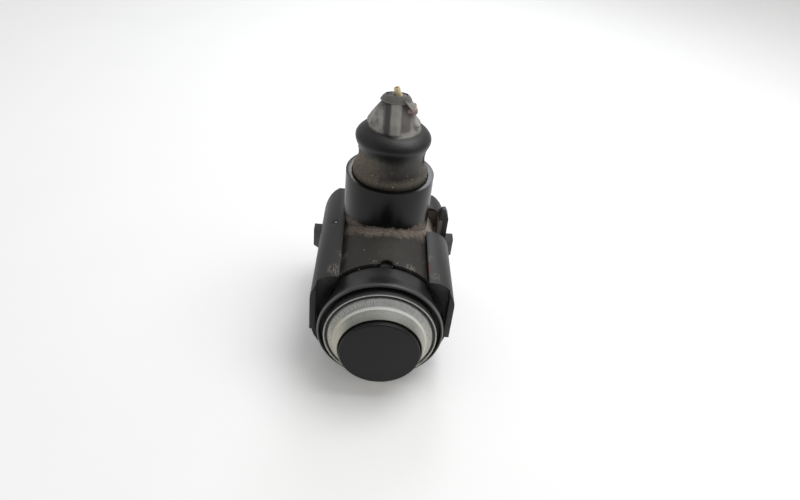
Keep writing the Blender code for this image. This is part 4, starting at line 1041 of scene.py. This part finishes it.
TAPE_REPLACES = {"tape_band": ["boot_tape"], "tape_flap": []}
tape_sheet("tape_band", TAPE_STEPS, place_on_band)
tape_sheet("tape_flap", len(FLAP_CURVE) - 1, place_on_flap)

# %% Route the wires
STRANDS = 7
STRAND_RADIUS = 0.13 * MM
STRAND_RING = 0.26 * MM
STRAND_REACH = 0.03 * MM
STRAND_DEPTH = 0.55 * MM
BORE_SHARE = 0.62
BORE_DEPTH = 0.6 * MM


def square_axes(along):
    """Two directions that stand square to a wire."""
    across = along.cross(Vector((0, 1, 0))).normalized()
    return across, along.cross(across)


def sweep(shape, points, radius, sides, hollow=0.0):
    """A round bar along points. With a hollow it is a tube that is open at its end."""
    angles = [2 * math.pi * step / sides for step in range(sides)]
    rings = []
    for index, point in enumerate(points):
        before = points[max(index - 1, 0)]
        after = points[min(index + 1, len(points) - 1)]
        across, sideways = square_axes((after - before).normalized())
        turns = [across * math.cos(angle) + sideways * math.sin(angle) for angle in angles]
        rings.append([shape.verts.new(point + turn * radius) for turn in turns])
    if hollow:
        rim = rings[-1]
        end = points[-1]
        along = (end - points[-2]).normalized()
        for depth in (0.0, BORE_DEPTH):
            places = [end + (vert.co - end) * hollow - along * depth for vert in rim]
            rings.append([shape.verts.new(place) for place in places])
    for first, second in zip(rings, rings[1:]):
        for step in range(sides):
            after = (step + 1) % sides
            shape.faces.new((first[step], first[after], second[after], second[step]))
    shape.faces.new(rings[0])
    shape.faces.new(rings[-1])


def bend(start, start_run, end, end_run, count):
    """A smooth curve from start to end that leaves and arrives along the two runs."""
    points = []
    for step in range(count):
        t = step / (count - 1)
        first = 2 * t ** 3 - 3 * t ** 2 + 1
        second = t ** 3 - 2 * t ** 2 + t
        third = 3 * t ** 2 - 2 * t ** 3
        fourth = t ** 3 - t ** 2
        points.append(start * first + start_run * second + end * third + end_run * fourth)
    return points


def make_wire(name, material, start, leave, exit_place, tip, seed):
    """Insulation along the wire's route, and strands that stand out of the cut."""
    length = (exit_place - leave).length
    along = (tip - exit_place).normalized()
    route = [start] + bend(leave, Vector((0, 0, length)), exit_place, along * length, 18)
    route += [exit_place.lerp(tip, 0.5), tip]
    shape = bmesh.new()
    sweep(shape, route, WIRE_RADIUS, 24, BORE_SHARE)
    bmesh.ops.recalc_face_normals(shape, faces=shape.faces)
    wire = to_object(shape, name, material, 40)

    strands = bmesh.new()
    across, sideways = square_axes(along)
    for index in range(STRANDS):
        angle = 2 * math.pi * index / (STRANDS - 1)
        offset = 0.0 if index == STRANDS - 1 else STRAND_RING
        aside = (across * math.cos(angle) + sideways * math.sin(angle)) * offset
        unequal = 0.06 * MM * abs(math.sin(seed + index * 2.4))
        foot = tip - along * STRAND_DEPTH + aside
        top = tip + along * (STRAND_REACH + unequal) + aside * 1.2
        sweep(strands, [foot, foot.lerp(top, 0.5), top], STRAND_RADIUS, 8)
    bmesh.ops.recalc_face_normals(strands, faces=strands.faces)
    return wire, to_object(strands, name + "_strands", FINISHES["copper"], 40)


WIRES = {
    "yellow": ("wire_yellow", 0.0, Vector((0.45, 0, 17.2)), Vector((-0.35, 0, 19.0)), 1),
    "red": ("wire_red", -2.54, Vector((2.7, -0.75, 14.6)), Vector((4.25, -0.75, 14.75)), 2),
    "brown": ("wire_brown", 2.54, Vector((2.6, 0.85, 14.8)), Vector((4.05, 0.85, 15.05)), 3),
}


def all_wires():
    for colour, (node, x, exit_place, tip, seed) in WIRES.items():
        origin = Vector((0, COLLAR_Y, COLLAR_RIM))
        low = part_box(node)[0]
        start = Vector((x * MM, COLLAR_Y, low[2]))
        leave = Vector((x * MM, COLLAR_Y, COLLAR_RIM - 0.5 * MM))
        exit_place = origin + exit_place * MM
        tip = origin + tip * MM
        material = FINISHES[colour + "_insulation"]
        wire, strands = make_wire(colour + "_wire", material, start, leave, exit_place, tip, seed)
        settle(wire, colour + "_insulation", node)
        settle(strands, "copper")


all_wires()

# %% [markdown]
# ## Crumbs of dirt and strokes on the silicone
# Fine dirt lies as single grains on the arch round the collar and on the boot's neck. One
# tree scatters them over a copy of a surface, with a density that depends on the place. A
# second tree repeats one small bar to make the moulded strokes on the soft ring.

# %% Scatter crumbs
CRUMB_SIZES = {
    "Most Per Square Metre": 5.0 / MM ** 2,
    "Smallest": 0.05 * MM,
    "Largest": 0.19 * MM,
    "Seed": 4,
}


def arch_density(graph, place):
    """Grains lie in a band round the collar, more of them beside it than in front."""
    x, y, z = graph.split(place)
    from_wall = graph.length(x, y - COLLAR_Y) - COLLAR_RADIUS
    band = graph.band(from_wall, 0.1 * MM, 0.3 * MM, 1.2 * MM, 3.4 * MM)
    on_arch = graph.band(z, 21.0 * MM, 22.0 * MM, 25.6 * MM, 25.9 * MM)
    beside = graph.step(abs(x), 0.0, 7.0 * MM)
    inside_rails = graph.fall(abs(x), 8.7 * MM, 8.9 * MM)
    off_collar = graph.step(from_wall, 0.05 * MM, 0.1 * MM)
    return (band * (0.35 + 0.65 * beside) + 0.018) * on_arch * inside_rails * off_collar


def boot_density(graph, place):
    """Grains hold on to the neck of the boot, most of all on its left."""
    x, _, z = graph.split(place)
    height = z - COLLAR_RIM
    neck = graph.band(height, 0.2 * MM, 0.8 * MM, 4.5 * MM, 7.0 * MM)
    return neck * (0.06 + 0.44 * graph.fall(x, -5.5 * MM, -0.5 * MM))


def crumb_tree(name, density, material):
    graph, size = new_tree(name, CRUMB_SIZES)
    amount = density(graph, graph.out("GeometryNodeInputPosition", 0)) * size["Most Per Square Metre"]
    sockets = {"Mesh": size["Geometry"], "Density": amount, "Seed": size["Seed"]}
    points = graph.out("GeometryNodeDistributePointsOnFaces", 0, None, sockets)
    crumb = graph.out("GeometryNodeMeshIcoSphere", 0, None, {"Radius": 1.0, "Subdivisions": 1})
    spread = graph.out("FunctionNodeRandomValue", 1, None, {2: 0.0, 3: 1.0, "Seed": size["Seed"]})
    grown = size["Smallest"] + (size["Largest"] - size["Smallest"]) * spread ** 3
    shape = graph.join(grown, grown * 0.8, grown * 0.6)
    sockets = {"Points": points, "Instance": crumb, "Scale": shape}
    return end_tree(graph, graph.out("GeometryNodeInstanceOnPoints", 0, None, sockets), material)


def scatter(source, name, density, slot):
    crumbs = add_object(name, source.data.copy())
    run_tree(crumbs, crumb_tree(name + "_rule", density, FINISHES["road_dust"]), CRUMB_SIZES)
    settle(crumbs, slot)


scatter(housing_shell, "arch_crumbs", arch_density, "charcoal_plastic")
scatter(boot, "boot_crumbs", boot_density, "boot_rubber")

# %% Strokes on the soft ring
STROKE_SIZES = {
    "Strokes": 26,
    "First Angle": math.radians(100),
    "Last Angle": math.radians(165),
    "Radius": 9.95 * MM,
    "Depth": 4.03 * MM,
    "Stroke Length": 0.75 * MM,
    "Stroke Width": 0.15 * MM,
    "Stroke Height": 0.12 * MM,
    "Jitter": 0.012,
    "Slope": math.radians(35.5),
    "Seed": 2,
}


def stroke_tree():
    graph, size = new_tree("strokes", STROKE_SIZES)
    index = graph.out("GeometryNodeInputIndex", 0)
    share = index / (size["Strokes"] - 1)
    sockets = {2: -size["Jitter"], 3: size["Jitter"], "Seed": size["Seed"]}
    jitter = graph.out("FunctionNodeRandomValue", 1, None, sockets)
    angle = size["First Angle"] + (size["Last Angle"] - size["First Angle"]) * share + jitter
    x = graph.math('COSINE', angle) * size["Radius"]
    z = graph.math('SINE', angle) * size["Radius"] + AXIS_HEIGHT
    place = graph.join(x, size["Depth"] - BODY_LENGTH / 2, z)
    points = graph.out("GeometryNodePoints", 0, None, {"Count": size["Strokes"], "Position": place})
    bar_size = graph.join(size["Stroke Length"], size["Stroke Height"], size["Stroke Width"])
    bar = graph.out("GeometryNodeMeshCube", 0, None, {"Size": bar_size})
    tilt = graph.join(0.0, 0.0, size["Slope"])
    bar = graph.out("GeometryNodeTransform", 0, None, {"Geometry": bar, "Rotation": tilt})
    turn = graph.join(0.0, -angle, 0.0)
    sockets = {"Points": points, "Instance": bar, "Rotation": turn}
    strokes = graph.out("GeometryNodeInstanceOnPoints", 0, None, sockets)
    return end_tree(graph, strokes, FINISHES["pale_silicone"])


strokes = add_object("ring_strokes", bpy.data.meshes.new("ring_strokes"))
run_tree(strokes, stroke_tree(), STROKE_SIZES)
settle(strokes, "silicone")

# %% [markdown]
# ## The floor and the light
# The sensor lies on plain white paper in soft light from above and a little from the right.
# Its shadow is faint and falls to the left. The paper gives off a little white of its own,
# for the camera and for reflections alone, so it looks white without more light on the part.

# %% Floor, world and lamps
FLOOR_SIZE = 900 * MM
FLOOR_GAP = 0.02 * MM
FLOOR_GLOW = 0.15
ROOM_LIGHT = 0.60
ROOM_DARK = 0.15


def add_floor():
    material = bpy.data.materials.new("paper")
    material.use_nodes = True
    graph = Graph(material.node_tree)
    rays = graph.add("ShaderNodeLightPath")
    kinds = [Value(graph, rays.outputs[name]) for name in ("Is Camera Ray", "Is Glossy Ray")]
    seen = graph.math('MAXIMUM', *kinds)
    place = graph.out("ShaderNodeTexCoord", "Object")
    fibre = graph.out("ShaderNodeTexNoise", 0, None, {"Vector": place, "Scale": 40.0})
    colour = graph.mix(fibre, (0.86, 0.86, 0.855), (0.89, 0.89, 0.885))
    diffuse = graph.out("ShaderNodeBsdfDiffuse", 0, None, {"Color": colour})
    sockets = {"Color": (1.0, 1.0, 0.99, 1.0), "Strength": seen * FLOOR_GLOW}
    glow = graph.out("ShaderNodeEmission", 0, None, sockets)
    both = graph.out("ShaderNodeAddShader", 0, None, {0: diffuse, 1: glow})
    end = graph.add("ShaderNodeOutputMaterial")
    graph.tree.links.new(both.socket, end.inputs[0])
    shape = bmesh.new()
    half = FLOOR_SIZE / 2
    corners = ((-half, -half), (half, -half), (half, half), (-half, half))
    shape.faces.new([shape.verts.new((x, y, -FLOOR_GAP)) for x, y in corners])
    floor = to_object(shape, "paper_floor", material)


def add_world():
    """A white room, darker on the side from which the picture is taken."""
    world = bpy.data.worlds.new("room")
    bpy.context.scene.world = world
    world.use_nodes = True
    graph = Graph(world.node_tree)
    rays = graph.add("ShaderNodeLightPath")
    seen = Value(graph, rays.outputs["Is Camera Ray"])
    x, y, _ = graph.split(graph.out("ShaderNodeTexCoord", "Generated"))
    beside = graph.step(abs(x), 0.45, 0.85)
    lit = graph.math('MAXIMUM', graph.step(y, -0.55, 0.25), beside)
    around = ROOM_DARK + lit * (ROOM_LIGHT - ROOM_DARK)
    strength = around + seen * (1 - around)
    room = graph.out("ShaderNodeBackground", 0, None, {"Color": (1.0, 1.0, 1.0, 1.0), "Strength": strength})
    end = graph.add("ShaderNodeOutputWorld")
    graph.tree.links.new(room.socket, end.inputs[0])


def add_lamp(name, place, target, size, power, colour=(1.0, 1.0, 1.0)):
    data = bpy.data.lights.new(name, 'AREA')
    data.shape = 'DISK'
    data.size = size
    data.energy = power
    data.color = colour
    lamp = add_object(name, data)
    lamp.location = place
    lamp.rotation_euler = (Vector(target) - Vector(place)).to_track_quat('-Z', 'Y').to_euler()


add_floor()
add_world()
add_lamp("softbox", (0.12, 0.04, 0.32), (0, 0, 0.015), 0.26, 0.64)
add_lamp("window", (0.03, 0.26, 0.21), (0, 0, 0.02), 0.12, 0.20, (0.93, 0.96, 1.0))
bpy.context.scene.view_settings.view_transform = 'Standard'

# %% [markdown]
# ## Finish

# %% The end
print("the scene is built")
